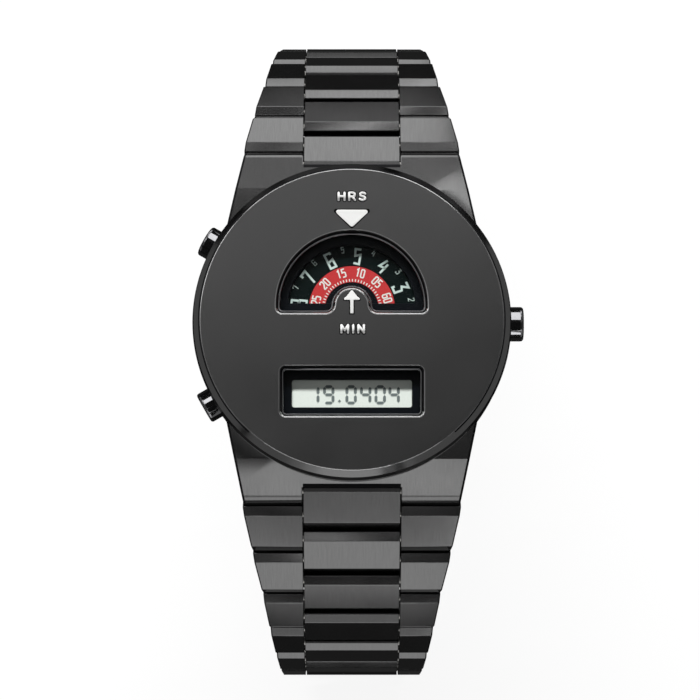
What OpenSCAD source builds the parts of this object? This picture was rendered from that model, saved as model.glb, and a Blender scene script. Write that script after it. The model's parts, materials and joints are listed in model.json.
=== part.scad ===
// Digital watch on a steel bracelet. Millimetres. The origin is the middle of the case back's outer face,
// +Z is out of the dial, +Y is twelve o'clock and +X is the crown.

/* [Case] */
// Diameter of the front plate at its lower edge
plate_d = 40; // [38:0.5:42]
// Diameter of the front plate's flat face
face_d = 37.9; // [36:0.1:38]
// Height of the front plate
plate_h = 2.5; // [2.3:0.1:3]
// Height from the wrist seat to the front face
watch_h = 11; // [10.8:0.1:12]
// Radius of the hollow inside the case
hollow_r = 16.3; // [16.2:0.05:16.6]
// How far the case side stands back from the plate's edge
case_inset = 0.1; // [0:0.05:0.3]
// Chamfer round the bottom of the case
case_chamfer = 1; // [0.4:0.1:1.2]
// Thickness of the case back's flange
back_flange_h = 1.2; // [1:0.1:1.4]
// How far the case back's flange reaches past the hollow
back_reach = 2.1; // [2:0.05:2.3]
// Height of the case back's spigot above its flange
spigot_h = 0.4; // [0.3:0.1:0.5]
// Distance of the case back screws from the hollow
screw_from_hollow = 1.3; // [1.2:0.05:1.4]
// Radius of a case back screw's shank
screw_r = 0.45; // [0.35:0.05:0.5]
// Radius of a case back screw's head
screw_head_r = 0.75; // [0.65:0.05:0.8]
// Length of a case back screw's shank
screw_len = 2.6; // [2:0.2:3]
// Width of the case back gasket
gasket_w = 0.4; // [0.3:0.05:0.45]
// Depth of the gasket's groove
gasket_depth = 0.3; // [0.2:0.05:0.4]

/* [Lugs] */
// Distance of the first bracelet hinge from the middle of the case
lug_y = 20.75; // [20.5:0.05:21.2]
// Height of the first bracelet hinge above the wrist seat
lug_z = 3.7; // [3.5:0.1:4]
// Radius of the lug's rounded tip
lug_tip_r = 1.7; // [1.6:0.05:1.8]
// Distance of the ridge across the lug from the middle of the case
lug_ridge_y = 17.2; // [16.8:0.1:17.6]
// Slope of the lug's outer facet, in degrees
lug_slope = 27; // [25:0.5:29]
// Slope of the lug's underside, in degrees
lug_under_slope = 8; // [6:0.5:10]
// Half the width across the lugs, where they leave the round case
lug_shoulder_x = 15.6; // [15.4:0.1:15.8]
// Distance of the shoulder from the middle of the case
lug_shoulder_y = 12.9; // [12.5:0.1:13.2]
// Half the width across the lugs at the first hinge
lug_end_x = 14; // [13.8:0.1:14.2]

/* [Windows] */
// Radius of the dial opening in the front plate
dial_open_r = 9.5; // [9.2:0.1:9.8]
// Height of the disc axis above the middle of the case
disc_y = 1.7; // [1.5:0.1:1.9]
// Lower edge of the dial opening
dial_open_y = 0.8; // [0.6:0.1:1]
// Radius of the plate's hub over the middle of the discs
hub_r = 2.25; // [2:0.05:2.5]
// Radius of the dial mask's opening over the discs
mask_open_r = 8; // [7.8:0.05:8.1]
// Lower edge of the dial mask's opening
mask_open_y = 2.3; // [2.1:0.1:2.6]
// Width of the display opening in the front plate
display_open_w = 17.9; // [17.4:0.1:18.2]
// Height of the display opening in the front plate
display_open_h = 6.4; // [6.2:0.1:6.6]
// Distance of the display's middle from the edge of the hollow
display_from_edge = 7.2; // [7.1:0.05:7.3]
// Width of the display that shows
display_w = 15; // [14.6:0.1:15.4]
// Height of the display that shows
display_h = 3.45; // [3.2:0.05:3.6]
// Radius of the openings' corners
window_corner_r = 0.6; // [0.4:0.1:0.8]
// Thickness of the plate over the windows
window_roof_h = 0.9; // [0.8:0.05:1]
// Thickness of the window glasses
glass_h = 1; // [0.8:0.05:1]
// How far a glass reaches past its opening on every side
glass_seat = 0.7; // [0.5:0.1:0.8]
// Thickness of the dial mask
mask_h = 0.4; // [0.3:0.05:0.45]

/* [Discs and movement] */
// Radius of the hour disc
hour_disc_r = 8.2; // [8.15:0.05:8.3]
// Thickness of the hour disc
hour_disc_h = 0.18; // [0.15:0.01:0.2]
// Radius of the minute disc
minute_disc_r = 5.4; // [5.2:0.1:5.6]
// Thickness of the minute disc
minute_disc_h = 0.13; // [0.1:0.01:0.15]
// Thickness of the gears under the discs
gear_h = 0.16; // [0.14:0.01:0.17]
// Distance between the disc axis and the intermediate wheel
wheel_span = 4; // [3.9:0.05:4.1]
// Wall of the holder round the movement
holder_w = 0.8; // [0.7:0.05:0.9]
// Gap between the case back and the battery, which holds the battery's clip
battery_gap = 0.91; // [0.8:0.01:0.95]
// Thickness of the circuit board
board_h = 0.5; // [0.4:0.05:0.6]
// Radius of the battery
battery_r = 4.75; // [4.6:0.05:4.8]
// Height of the battery
battery_h = 2.05; // [1.9:0.05:2.1]
// Thickness of the display panel
panel_h = 1.05; // [0.95:0.05:1.1]

/* [Crown and pushers] */
// Height of the crown's axis above the wrist seat
crown_z = 6; // [5.9:0.05:6.1]
// Diameter of the crown
crown_d = 4.35; // [4.1:0.05:4.4]
// How far the crown stands out of the front plate's edge
crown_out = 1.6; // [1.4:0.1:1.8]
// Distance that the crown pulls out
crown_travel = 1; // [0.6:0.1:1.1]
// Radius of the crown's stem
stem_r = 0.55; // [0.5:0.01:0.57]
// Diameter of a pusher's cap
pusher_d = 4; // [3.8:0.1:4.2]
// How far a pusher stands out of the front plate's edge
pusher_out = 1.45; // [1.35:0.05:1.6]
// Distance that a pusher travels
pusher_travel = 0.8; // [0.5:0.05:0.85]
// Radius of a pusher's stem
pusher_stem_r = 0.5; // [0.4:0.05:0.55]
// Angle of the pushers from the nine o'clock axis, in degrees
pusher_angle = 30; // [27:1:33]
// Depth of the crown's and pushers' recesses in the case's side
recess_depth = 1; // [0.9:0.05:1.1]

/* [Bracelet] */
// Distance from one hinge of the bracelet to the next
pitch = 6.9; // [6.85:0.01:7]
// Length of a link's block
block_len = 6.41; // [6.3:0.01:6.45]
// How far a block reaches past its hinge
nose = 1.48; // [1.42:0.01:1.5]
// Height of a link's outer face above its hinges
link_top = 1.4; // [1.35:0.01:1.45]
// Depth of a link's inner face below its hinges
link_under = 1.3; // [1.2:0.01:1.35]
// Length of the bevel at each end of a link's outer face
bevel_run = 0.975; // [0.9:0.005:1.05]
// Depth of that bevel
bevel_drop = 0.7; // [0.65:0.01:0.75]
// Chamfer at each end of a link's inner face
under_chamfer = 0.7; // [0.65:0.01:0.8]
// Width of the middle blocks
centre_w = 12.2; // [12:0.05:12.3]
// Gap between a middle block and the blocks beside it
side_gap = 0.12; // [0.1:0.01:0.14]
// Width of the bracelet where it starts at the lugs
bracelet_w1 = 27.6; // [27.4:0.1:27.8]
// Width of the bracelet at the second link
bracelet_w2 = 25.2; // [25:0.1:25.4]
// Width of the bracelet at the third link
bracelet_w3 = 22.8; // [22.6:0.1:23]
// Width of the bracelet at the fourth link
bracelet_w4 = 21.2; // [21:0.1:21.4]
// Width of the bracelet at the fifth link
bracelet_w5 = 19.9; // [19.7:0.1:20.1]
// Width of the bracelet at the sixth link
bracelet_w6 = 19; // [18.8:0.1:19.2]
// Width of the bracelet at the clasp
clasp_w = 18; // [17.8:0.1:18.2]
// Radius of the hinge pins
hinge_pin_r = 0.6; // [0.55:0.01:0.62]
// Radius of the pins that hold a link's blocks together
fixing_pin_r = 0.45; // [0.4:0.01:0.5]
// How far a pin's end stays inside the link's side
pin_inset = 0.35; // [0.2:0.05:0.5]

/* [Clasp] */
// Slope of the clasp at its hinges, in degrees from level
clasp_bow = 15; // [13:0.5:17]
// Length of the tongue's block outside the clasp
tongue_block = 8.5; // [8:0.1:9]
// Length of the tongue inside the clasp
tongue_len = 9.5; // [9:0.1:10]
// Width of the tongue
tongue_w = 8.6; // [8:0.1:8.8]
// Thickness of the clasp's cover and walls
clasp_wall = 1; // [0.9:0.05:1.05]
// Distance of the clasp's buttons from its mouth
button_back = 5.8; // [5.4:0.1:6.2]
// Distance that a clasp button travels
button_travel = 0.5; // [0.3:0.05:0.55]
// How far a clasp button stands out of the clasp's side
button_out = 0.7; // [0.65:0.05:0.9]

/* [Fits] */
// Radial clearance of a pin, stem or hub that turns in its hole
running_fit = 0.05; // [0.03:0.005:0.07]
// Radial clearance of a pin that is held in its hole
held_fit = 0.01; // [0:0.005:0.01]
// Clearance round pieces that are set into a recess
set_gap = 0.1; // [0.08:0.01:0.12]

/* [Hidden] */
$fn = 96;
upper_count = 10;
lower_count = 9;
upper_names = [for (k = [1:upper_count]) str("upper_link_", k)];
lower_names = [for (k = [1:lower_count]) str("lower_link_", k)];

// Finishes, as they look in a plain view
steel = [0.27, 0.27, 0.28];
dark_steel = [0.16, 0.16, 0.17];
bright_steel = [0.7, 0.7, 0.72];
brass = [0.8, 0.66, 0.35];
plastic = [0.1, 0.1, 0.1];

// Radii and places set by the case's side and hollow
case_r = plate_d / 2 - case_inset;
face_r = face_d / 2;
recess_r = case_r - recess_depth;
lining_r = hollow_r - set_gap;
movement_r = lining_r - holder_w - set_gap;
back_r = hollow_r + back_reach;
screw_circle_r = hollow_r + screw_from_hollow;
display_y = display_from_edge - hollow_r;

// Levels inside the case. The movement plate fills what the stacks above and below it leave.
level_gap = 0.05;
plate_z = watch_h - plate_h;
roof_z = watch_h - window_roof_h;
mask_z = plate_z - mask_h;
post_top_z = mask_z - set_gap;
minute_disc_z = post_top_z - minute_disc_h;
hour_disc_z = minute_disc_z - set_gap - hour_disc_h;
hour_gear_z = hour_disc_z - gear_h;
gear_gap = 0.06;
minute_gear_z = hour_gear_z - gear_gap - gear_h;
movement_top_z = minute_gear_z - level_gap;
panel_z = mask_z - level_gap - panel_h;
back_top_z = back_flange_h + spigot_h;
battery_z = back_top_z + battery_gap;
board_z = battery_z + battery_h;
movement_z = board_z + board_h + set_gap;
movement_h = movement_top_z - movement_z;

// How far a cutting shape runs past what it cuts
overlap = 1;

// Height of the marks on the plate
mark_h = 0.12;

// Sizes of the pieces under the windows
panel_w = display_w + 1.6;
panel_l = display_h + 0.95;
strip_w = 14;
strip_t = 0.9;
carrier_wall = 0.4;
post_r = 0.35;
wheel_post_r = 0.245;
cannon_r = 0.7;
hour_tube_r = 1.1;
pinion_teeth = 12;
wheel_teeth = 36;
leaf_teeth = 10;
hour_teeth = 40;
battery_x = 5.2;
battery_y = 5.6;
battery_cap = 0.84;
battery_step = 0.72;
clip_w = 2.4;
clip_h = 0.22;
clip_ear = 0.4;
coil_x = -6.5;
coil_y = 5;
coil_len = 8;
coil_r = 1;
core_r = 0.55;
core_foot = 1.6;
crystal_x = -9.5;
crystal_r = 0.7;
crystal_len = 5;

// Crown and pushers
crown_r = crown_d / 2;
crown_end = plate_d / 2 + crown_out;
crown_start = recess_r + set_gap;
tube_r = stem_r + running_fit + 0.32;
tube_end = recess_r + 0.7;
yoke_x = movement_r - 2.9;
yoke_t = 0.5;
yoke_w = 2.4;
groove_r = 0.3;
pusher_r = pusher_d / 2;
pusher_end = plate_d / 2 + pusher_out;
pusher_start = recess_r + pusher_travel + set_gap / 2;
spring_seat = pusher_start + 0.7;
pusher_stem_end = hollow_r - 0.85;
clip_t = 0.2;
clip_r = 0.85;
leaf_t = 0.15;
leaf_w = 2;
leaf_r = pusher_stem_end - pusher_travel - leaf_t;
bore_start = hollow_r - 2;
bore_len = recess_r - bore_start + overlap;
recess_reach = recess_depth + 3;

// Bracelet
block_start = pitch + nose - block_len;
pocket_r = block_start;
lug_inner_x = centre_w / 2 + side_gap;
row_widths = [bracelet_w1, bracelet_w2, bracelet_w3, bracelet_w4, bracelet_w5, bracelet_w6];
function row_width(k) = k <= len(row_widths) ? row_widths[k - 1] :
    k == len(row_widths) + 1 ? (bracelet_w6 + clasp_w * 2) / 3 : clasp_w;

// Slopes of the links below level, at rest, from the case to the clasp
shown_slopes = [34, 43, 51.5, 63, 74, 85];
lower_slopes = concat(shown_slopes, [100, 119, 138]);
upper_open_slopes = concat(shown_slopes, [104, 127, 148]);
function hinge_at(slopes, k) = k == 1 ? [lug_y, lug_z] :
    hinge_at(slopes, k - 1) + pitch * [cos(slopes[k - 2]), -sin(slopes[k - 2])];
lower_end = hinge_at(lower_slopes, lower_count + 1);
upper_last = hinge_at(upper_open_slopes, upper_count);
closing_slope = 180 - asin((upper_last[1] - lower_end[1]) / pitch);
upper_slopes = concat(upper_open_slopes, [closing_slope]);
upper_end = hinge_at(upper_slopes, upper_count + 1);

// Clasp, bowed round one centre
clasp_r = (upper_end[0] + lower_end[0]) / 2 / sin(clasp_bow);
clasp_arc = clasp_r * clasp_bow * PI / 90;
mouth_gap = 0.3;
cover_start = block_start + 0.25;
cover_end = clasp_arc - tongue_block - mouth_gap;
cover_floor = link_top - clasp_wall;
wall_x = clasp_w / 2 - clasp_wall;
button_at = cover_end - button_back;
button_len = 2.6;
button_low = -1;
button_high = 0.1;
carrier_x = wall_x - 0.1;
carrier_t = 1.1;
catch_x = tongue_w / 2 + button_travel + 0.2;
blade_low = -1;
blade_high = -0.2;
spring_at = cover_end - tongue_len - 1.4;
spring_r = 0.5;
spring_wire_r = 0.12;

// A rod along X, centred on it
module rod(r, half) {
    rotate([0, 90, 0]) cylinder(r = r, h = 2 * half, center = true);
}

// A ring or tube standing on z
module tube(outer_r, inner_r, z, h) {
    difference() {
        translate([0, 0, z]) cylinder(r = outer_r, h = h);
        translate([0, 0, z - overlap]) cylinder(r = inner_r, h = h + 2 * overlap);
    }
}

// A block centred on x and y that stands on z
module slab(w, l, z, h) {
    translate([-w / 2, -l / 2, z]) cube([w, l, h]);
}

// A block with round corners, standing on z
module round_slab(w, l, r, z, h) {
    union() {
        slab(w, l - 2 * r, z, h);
        slab(w - 2 * r, l, z, h);
        for (x = [-1, 1], y = [-1, 1])
            translate([x * (w / 2 - r), y * (l / 2 - r), z]) cylinder(r = r, h = h);
    }
}

// The upper part of a disc about the disc axis, cut off straight along y = low_y
module half_disc(r, low_y, z, h) {
    intersection() {
        translate([0, disc_y, z]) cylinder(r = r, h = h);
        translate([-2 * r, low_y, z - overlap]) cube([4 * r, 3 * r, h + 2 * overlap]);
    }
}

// A gear with short square teeth, which clear the next gear's at every turn
module gear(teeth, pitch_r, z, h) {
    tooth = 0.035;
    tip_r = pitch_r - 0.015;
    step = 90 / teeth;
    points = [for (i = [0:teeth - 1]) for (j = [0:3])
        let (a = (4 * i + j) * step, r = j < 2 ? tip_r : tip_r - 2 * tooth) [r * cos(a), r * sin(a)]];
    translate([0, 0, z]) linear_extrude(h) polygon(points);
}

// A coil spring along +Z, from z = 0 to z = h
module coil(r, wire_r, turns, h) {
    sides = 6;
    per_turn = 14;
    rings = turns * per_turn;
    rise = (h - 2 * wire_r) / rings;
    function at(i, j) =
        let (a = 360 * i / per_turn, b = 360 * j / sides, q = r + wire_r * cos(b))
        [q * cos(a), q * sin(a), wire_r + i * rise + wire_r * sin(b)];
    points = [for (i = [0:rings]) for (j = [0:sides - 1]) at(i, j)];
    first = [for (j = [0:sides - 1]) j];
    last = [for (j = [0:sides - 1]) (rings + 1) * sides - 1 - j];
    walls = [for (i = [0:rings - 1]) for (j = [0:sides - 1]) for (t = [0, 1])
        let (a = i * sides + j, b = i * sides + (j + 1) % sides, c = a + sides, d = b + sides)
        t == 0 ? [a, c, b] : [b, c, d]];
    caps = [for (j = [1:sides - 2]) for (t = [0, 1])
        t == 0 ? [first[0], first[j], first[j + 1]] : [last[0], last[j], last[j + 1]]];
    polyhedron(points, concat(walls, caps), convexity = 10);
}

// Puts a piece that points along +Z on a radial axis of the case, at an angle from +X
module radial(angle) {
    rotate([0, 0, angle]) translate([0, 0, crown_z]) rotate([0, 90, 0]) children();
}

upper_pusher_at = 180 - pusher_angle;
lower_pusher_at = 180 + pusher_angle;

// Case
module lug_side() {
    tip = [lug_y, lug_z];
    top = tip + lug_tip_r * [sin(lug_slope), cos(lug_slope)];
    low = tip + lug_tip_r * [sin(lug_under_slope), -cos(lug_under_slope)];
    ridge_z = top[1] + (top[0] - lug_ridge_y) * tan(lug_slope);
    root_y = lug_shoulder_y - 3;
    low_z = low[1] - (low[0] - lug_ridge_y) * tan(lug_under_slope);
    union() {
        linear_extrude(lug_shoulder_x * 3, center = true)
            polygon([[root_y, back_flange_h], [lug_ridge_y - 2, back_flange_h], [lug_ridge_y, low_z],
                low, tip, top, [lug_ridge_y, ridge_z], [lug_shoulder_y, plate_z], [root_y, plate_z]]);
        translate([lug_y, lug_z, 0]) cylinder(r = lug_tip_r, h = lug_shoulder_x * 3, center = true);
    }
}

module lug_pair() {
    taper = (lug_shoulder_x - lug_end_x) / (lug_y - lug_shoulder_y);
    inner_y = lug_shoulder_y - 3;
    outer_y = lug_y + 2 * lug_tip_r;
    wide = lug_shoulder_x + taper * (lug_shoulder_y - inner_y);
    narrow = lug_shoulder_x - taper * (outer_y - lug_shoulder_y);
    intersection() {
        rotate([90, 0, 90]) lug_side();
        linear_extrude(watch_h) polygon([[-wide, inner_y], [wide, inner_y], [narrow, outer_y],
            [-narrow, outer_y]]);
    }
}

module lug_pocket() {
    union() {
        translate([0, lug_y, lug_z]) rod(pocket_r, lug_inner_x);
        translate([-lug_inner_x, lug_y, -overlap]) cube([2 * lug_inner_x, 3 * lug_tip_r, watch_h + 2]);
        translate([-lug_inner_x, lug_y - pocket_r * 0.7, -overlap])
            cube([2 * lug_inner_x, pocket_r, overlap + lug_z]);
    }
}

// Recesses in the side that the crown and the pushers go into
module side_recesses() {
    radial(0) translate([0, 0, recess_r]) cylinder(r = crown_r + set_gap, h = recess_reach);
    for (angle = [upper_pusher_at, lower_pusher_at]) radial(angle) translate([0, 0, recess_r])
        cylinder(r = pusher_r + set_gap, h = recess_reach);
}

module case_middle() {
    color(steel) difference() {
        union() {
            rotate_extrude() polygon([[hollow_r, back_flange_h], [case_r - case_chamfer, back_flange_h],
                [case_r, back_flange_h + case_chamfer], [case_r, plate_z], [hollow_r, plate_z]]);
            difference() {
                union() {
                    lug_pair();
                    mirror([0, 1, 0]) lug_pair();
                }
                translate([0, 0, -overlap]) cylinder(r = hollow_r, h = watch_h + 2 * overlap);
            }
        }
        lug_pocket();
        mirror([0, 1, 0]) lug_pocket();
        for (side = [-1, 1])
            translate([0, side * lug_y, lug_z]) rod(hinge_pin_r + held_fit, lug_shoulder_x * 2);
        radial(0) translate([0, 0, bore_start]) cylinder(r = tube_r + held_fit, h = bore_len);
        for (angle = [upper_pusher_at, lower_pusher_at]) radial(angle) translate([0, 0, bore_start])
            cylinder(r = pusher_stem_r + running_fit, h = bore_len);
        side_recesses();
        for (a = [45:90:315]) rotate(a) translate([screw_circle_r, 0, back_flange_h - overlap])
            cylinder(r = screw_r + held_fit, h = screw_len + overlap);
    }
}

module lug_pins() {
    half = lug_end_x - pin_inset;
    color(bright_steel) for (side = [-1, 1]) translate([0, side * lug_y, lug_z]) rod(hinge_pin_r, half);
}

module front_plate() {
    pocket_h = roof_z - plate_z + overlap;
    color(steel) difference() {
        translate([0, 0, plate_z]) cylinder(r1 = plate_d / 2, r2 = face_r, h = plate_h);
        difference() {
            half_disc(dial_open_r, dial_open_y, roof_z - overlap, watch_h);
            translate([0, disc_y, plate_z]) cylinder(r = hub_r, h = watch_h);
        }
        half_disc(dial_open_r + glass_seat + set_gap, dial_open_y - glass_seat - set_gap,
            plate_z - overlap, pocket_h);
        translate([0, display_y, 0])
            round_slab(display_open_w, display_open_h, window_corner_r, plate_z, watch_h);
        translate([0, display_y, 0]) round_slab(display_open_w + 2 * (glass_seat + set_gap),
            display_open_h + 2 * (glass_seat + set_gap), window_corner_r, plate_z - overlap, pocket_h);
        side_recesses();
    }
}

module dial_window() {
    color([0.8, 0.85, 0.9, 0.4])
        half_disc(dial_open_r + glass_seat, dial_open_y - glass_seat, roof_z - glass_h, glass_h);
}

module display_window() {
    color([0.8, 0.85, 0.9, 0.4]) translate([0, display_y, 0])
        round_slab(display_open_w + 2 * glass_seat, display_open_h + 2 * glass_seat,
            window_corner_r, roof_z - glass_h, glass_h);
}

module dial_mask() {
    color(plastic) difference() {
        translate([0, 0, mask_z]) cylinder(r = lining_r, h = mask_h);
        half_disc(mask_open_r, mask_open_y, mask_z - overlap, mask_h + 2 * overlap);
        translate([0, display_y, 0]) round_slab(display_w, display_h, window_corner_r / 2,
            mask_z - overlap, mask_h + 2 * overlap);
    }
}

module case_back() {
    groove_inner = hollow_r + set_gap;
    groove_outer = groove_inner + gasket_w;
    head_floor = back_flange_h / 2;
    edge = 0.5;
    color(steel) difference() {
        union() {
            cylinder(r1 = back_r - edge, r2 = back_r, h = edge);
            translate([0, 0, edge]) cylinder(r = back_r, h = back_flange_h - edge);
            cylinder(r = lining_r, h = back_top_z);
        }
        tube(groove_outer, groove_inner, back_flange_h - gasket_depth, gasket_depth + overlap);
        for (a = [45:90:315]) rotate(a) translate([screw_circle_r, 0, 0]) {
            translate([0, 0, -overlap]) cylinder(r = screw_r + running_fit, h = watch_h);
            translate([0, 0, -overlap])
                cylinder(r = screw_head_r + running_fit, h = overlap + head_floor);
        }
    }
}

module case_back_gasket() {
    color(plastic) tube(hollow_r + set_gap + gasket_w, hollow_r + set_gap,
        back_flange_h - gasket_depth, gasket_depth);
}

module case_back_screws() {
    head_floor = back_flange_h / 2;
    slot_w = 0.24;
    slot_h = 0.3;
    color(bright_steel) for (a = [45:90:315]) rotate(a) translate([screw_circle_r, 0, 0]) {
        difference() {
            union() {
                translate([0, 0, set_gap]) cylinder(r = screw_head_r, h = head_floor - set_gap);
                translate([0, 0, head_floor]) cylinder(r = screw_r, h = back_flange_h - head_floor
                    + screw_len - 2 * set_gap);
            }
            translate([-screw_head_r, -slot_w / 2, 0]) cube([2 * screw_head_r, slot_w, slot_h]);
        }
    }
}

// Movement
module movement_holder() {
    start = movement_r - overlap;
    reach = holder_w + 3 * overlap;
    notch_x = clip_r + 0.3;
    color(plastic) difference() {
        tube(lining_r, movement_r + set_gap, back_top_z, mask_z - back_top_z);
        radial(0) translate([0, 0, start]) cylinder(r = tube_r + set_gap, h = reach);
        for (angle = [upper_pusher_at, lower_pusher_at]) rotate(angle)
            translate([start, -notch_x, crown_z - notch_x]) cube([reach, 2 * notch_x, watch_h]);
    }
}

// Room for the crown's stem and for its yoke, which moves out with it
module stem_room() {
    radial(0) translate([0, 0, yoke_x - 4]) cylinder(r = stem_r + running_fit, h = hollow_r);
    translate([yoke_x - set_gap, -yoke_w / 2 - set_gap, 0])
        cube([yoke_t + crown_travel + 2 * set_gap, yoke_w + 2 * set_gap,
            crown_z + stem_r + running_fit]);
}

module movement_plate() {
    window_w = panel_w + 2 * carrier_wall + 2 * set_gap;
    window_l = panel_l + 2 * set_gap;
    notch_x = clip_r + 0.6;
    root_z = movement_top_z - 0.01;
    color(brass) union() {
        difference() {
            translate([0, 0, movement_z]) cylinder(r = movement_r, h = movement_h);
            translate([0, display_y, 0]) slab(window_w, window_l, 0, watch_h);
            stem_room();
            for (angle = [upper_pusher_at, lower_pusher_at]) rotate(angle)
                translate([leaf_r - 0.4, -notch_x, 0]) cube([4, 2 * notch_x, watch_h]);
        }
        translate([0, disc_y, root_z]) cylinder(r = post_r, h = post_top_z - root_z);
        translate([-wheel_span, disc_y, root_z])
            cylinder(r = wheel_post_r, h = hour_disc_z - level_gap - root_z);
    }
}

module circuit_board() {
    color([0.1, 0.35, 0.2]) difference() {
        translate([0, 0, board_z]) cylinder(r = movement_r, h = board_h);
        stem_room();
    }
}

module battery() {
    seat = 0.02;
    color(bright_steel) translate([battery_x, battery_y, battery_z + seat]) union() {
        cylinder(r = battery_r, h = battery_h * battery_step);
        cylinder(r = battery_r * battery_cap, h = battery_h - 2 * seat);
    }
}

module battery_clip() {
    reach = battery_r + 0.3;
    color(bright_steel) translate([battery_x, battery_y, 0]) union() {
        slab(2 * (reach + clip_ear), clip_w, battery_z - clip_h, clip_h);
        for (x = [-1, 1]) translate([x * (reach + clip_ear / 2), 0, 0])
            slab(clip_ear, clip_w, battery_z - clip_h, battery_h + clip_h);
    }
}

// Puts a piece that points along +Z on the motor's axis, under the board
module on_coil_axis() {
    translate([coil_x, coil_y, board_z - coil_r - set_gap]) rotate([90, 0, 0]) children();
}

module motor_core() {
    foot_low = 0.6;
    foot_at = coil_len / 2 + 1;
    color(bright_steel) on_coil_axis() union() {
        cylinder(r = core_r, h = coil_len + overlap, center = true);
        for (z = [-1, 1]) translate([-core_foot / 2, -foot_low, z * foot_at - core_foot / 2])
            cube([core_foot, foot_low + coil_r + set_gap, core_foot]);
    }
}

module motor_coil() {
    color([0.72, 0.42, 0.2]) on_coil_axis() tube(coil_r, core_r + held_fit, -coil_len / 2, coil_len);
}

module quartz_crystal() {
    color(bright_steel) translate([crystal_x, coil_y - 2, board_z - crystal_r]) rotate([90, 0, 0])
        cylinder(r = crystal_r, h = crystal_len, center = true);
}

module display_panel() {
    color([0.72, 0.76, 0.72]) translate([0, display_y, 0]) slab(panel_w, panel_l, panel_z, panel_h);
}

module display_carrier() {
    outer_w = panel_w + 2 * carrier_wall;
    base_z = board_z + board_h;
    strip_y = panel_l / 2 - carrier_wall - strip_t / 2;
    color([0.85, 0.85, 0.82]) translate([0, display_y, 0]) difference() {
        slab(outer_w, panel_l, base_z, panel_z - base_z);
        for (y = [-1, 1]) translate([0, y * strip_y, 0])
            slab(strip_w + 2 * held_fit, strip_t + 2 * held_fit, 0, watch_h);
    }
}

module contact_strips() {
    base_z = board_z + board_h;
    strip_y = panel_l / 2 - carrier_wall - strip_t / 2;
    color([0.9, 0.5, 0.5]) for (y = [-1, 1]) translate([0, display_y + y * strip_y, 0])
        slab(strip_w, strip_t, base_z, panel_z - base_z);
}

module contact_springs() {
    base_z = board_z + board_h;
    color(brass) for (angle = [upper_pusher_at, lower_pusher_at]) rotate(angle)
        translate([leaf_r - 0.2, -leaf_w / 2, base_z])
            cube([leaf_t, leaf_w, crown_z + pusher_stem_r - base_z]);
}

// Marks on the front plate, which stand a little proud of it
module hour_mark() {
    tip_y = disc_y + dial_open_r + 0.3;
    base_y = tip_y + 2.25;
    half_w = 2.05;
    color("white") translate([0, 0, watch_h]) linear_extrude(mark_h)
        polygon([[-half_w, base_y], [half_w, base_y], [0, tip_y]]);
}

module minute_mark() {
    tail_y = dial_open_y - 0.1;
    head_y = disc_y + 0.5;
    tip_y = head_y + 1.25;
    shaft_x = 0.28;
    head_x = 1.05;
    color("white") translate([0, 0, watch_h]) linear_extrude(mark_h)
        polygon([[-shaft_x, tail_y], [shaft_x, tail_y], [shaft_x, head_y], [head_x, head_y],
            [0, tip_y], [-head_x, head_y], [-shaft_x, head_y]]);
}

// Discs
module hour_disc() {
    color([0.09, 0.1, 0.09]) translate([0, disc_y, 0]) difference() {
        union() {
            translate([0, 0, hour_disc_z]) cylinder(r = hour_disc_r, h = hour_disc_h);
            translate([0, 0, hour_gear_z]) cylinder(r = hour_tube_r, h = gear_h + hour_disc_h);
            gear(hour_teeth, wheel_span * 0.8, hour_gear_z, gear_h + 0.001);
        }
        translate([0, 0, hour_gear_z - overlap]) cylinder(r = cannon_r + running_fit, h = 3);
    }
}

module minute_disc() {
    color([0.72, 0.22, 0.22]) translate([0, disc_y, 0]) difference() {
        union() {
            translate([0, 0, minute_disc_z]) cylinder(r = minute_disc_r, h = minute_disc_h);
            translate([0, 0, minute_gear_z]) cylinder(r = cannon_r, h = minute_disc_z - minute_gear_z
                + minute_disc_h);
            gear(pinion_teeth, wheel_span * 0.25, minute_gear_z, gear_h);
        }
        translate([0, 0, minute_gear_z - overlap]) cylinder(r = post_r + running_fit, h = 4);
    }
}

module intermediate_wheel() {
    color(brass) translate([-wheel_span, disc_y, 0]) difference() {
        union() {
            gear(wheel_teeth, wheel_span * 0.75, minute_gear_z, gear_h);
            gear(leaf_teeth, wheel_span * 0.2, minute_gear_z + gear_h - 0.001, gear_h + gear_gap);
        }
        translate([0, 0, minute_gear_z - overlap]) cylinder(r = wheel_post_r + running_fit, h = 4);
    }
}

// Crown
module crown() {
    edge = 0.35;
    shoulder = crown_end - edge;
    color(dark_steel) radial(0) difference() {
        union() {
            translate([0, 0, crown_start]) cylinder(r = crown_r, h = shoulder - crown_start);
            translate([0, 0, shoulder]) cylinder(r1 = crown_r, r2 = crown_r - edge, h = edge);
        }
        translate([0, 0, crown_start - overlap]) cylinder(r = tube_r + set_gap,
            h = tube_end - crown_start + overlap + set_gap);
        translate([0, 0, crown_start]) cylinder(r = stem_r + held_fit, h = crown_end - crown_start - 0.6);
    }
}

module crown_stem() {
    color(bright_steel) radial(0) difference() {
        translate([0, 0, yoke_x - 3]) cylinder(r = stem_r, h = crown_end - 0.65 - yoke_x + 3);
        tube(stem_r + overlap, groove_r, yoke_x - 0.05, yoke_t + 0.1);
    }
}

module stem_yoke() {
    low_z = board_z + level_gap;
    color(brass) difference() {
        translate([yoke_x, -yoke_w / 2, low_z])
            cube([yoke_t, yoke_w, crown_z + stem_r - level_gap - low_z]);
        radial(0) translate([0, 0, yoke_x - 1]) cylinder(r = groove_r + running_fit, h = 3);
        translate([yoke_x - 1, -groove_r - running_fit, crown_z])
            cube([3, 2 * (groove_r + running_fit), 3]);
    }
}

module crown_tube() {
    start = hollow_r - 0.2;
    color(bright_steel) radial(0) tube(tube_r, stem_r + running_fit, start, tube_end - start);
}

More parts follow.
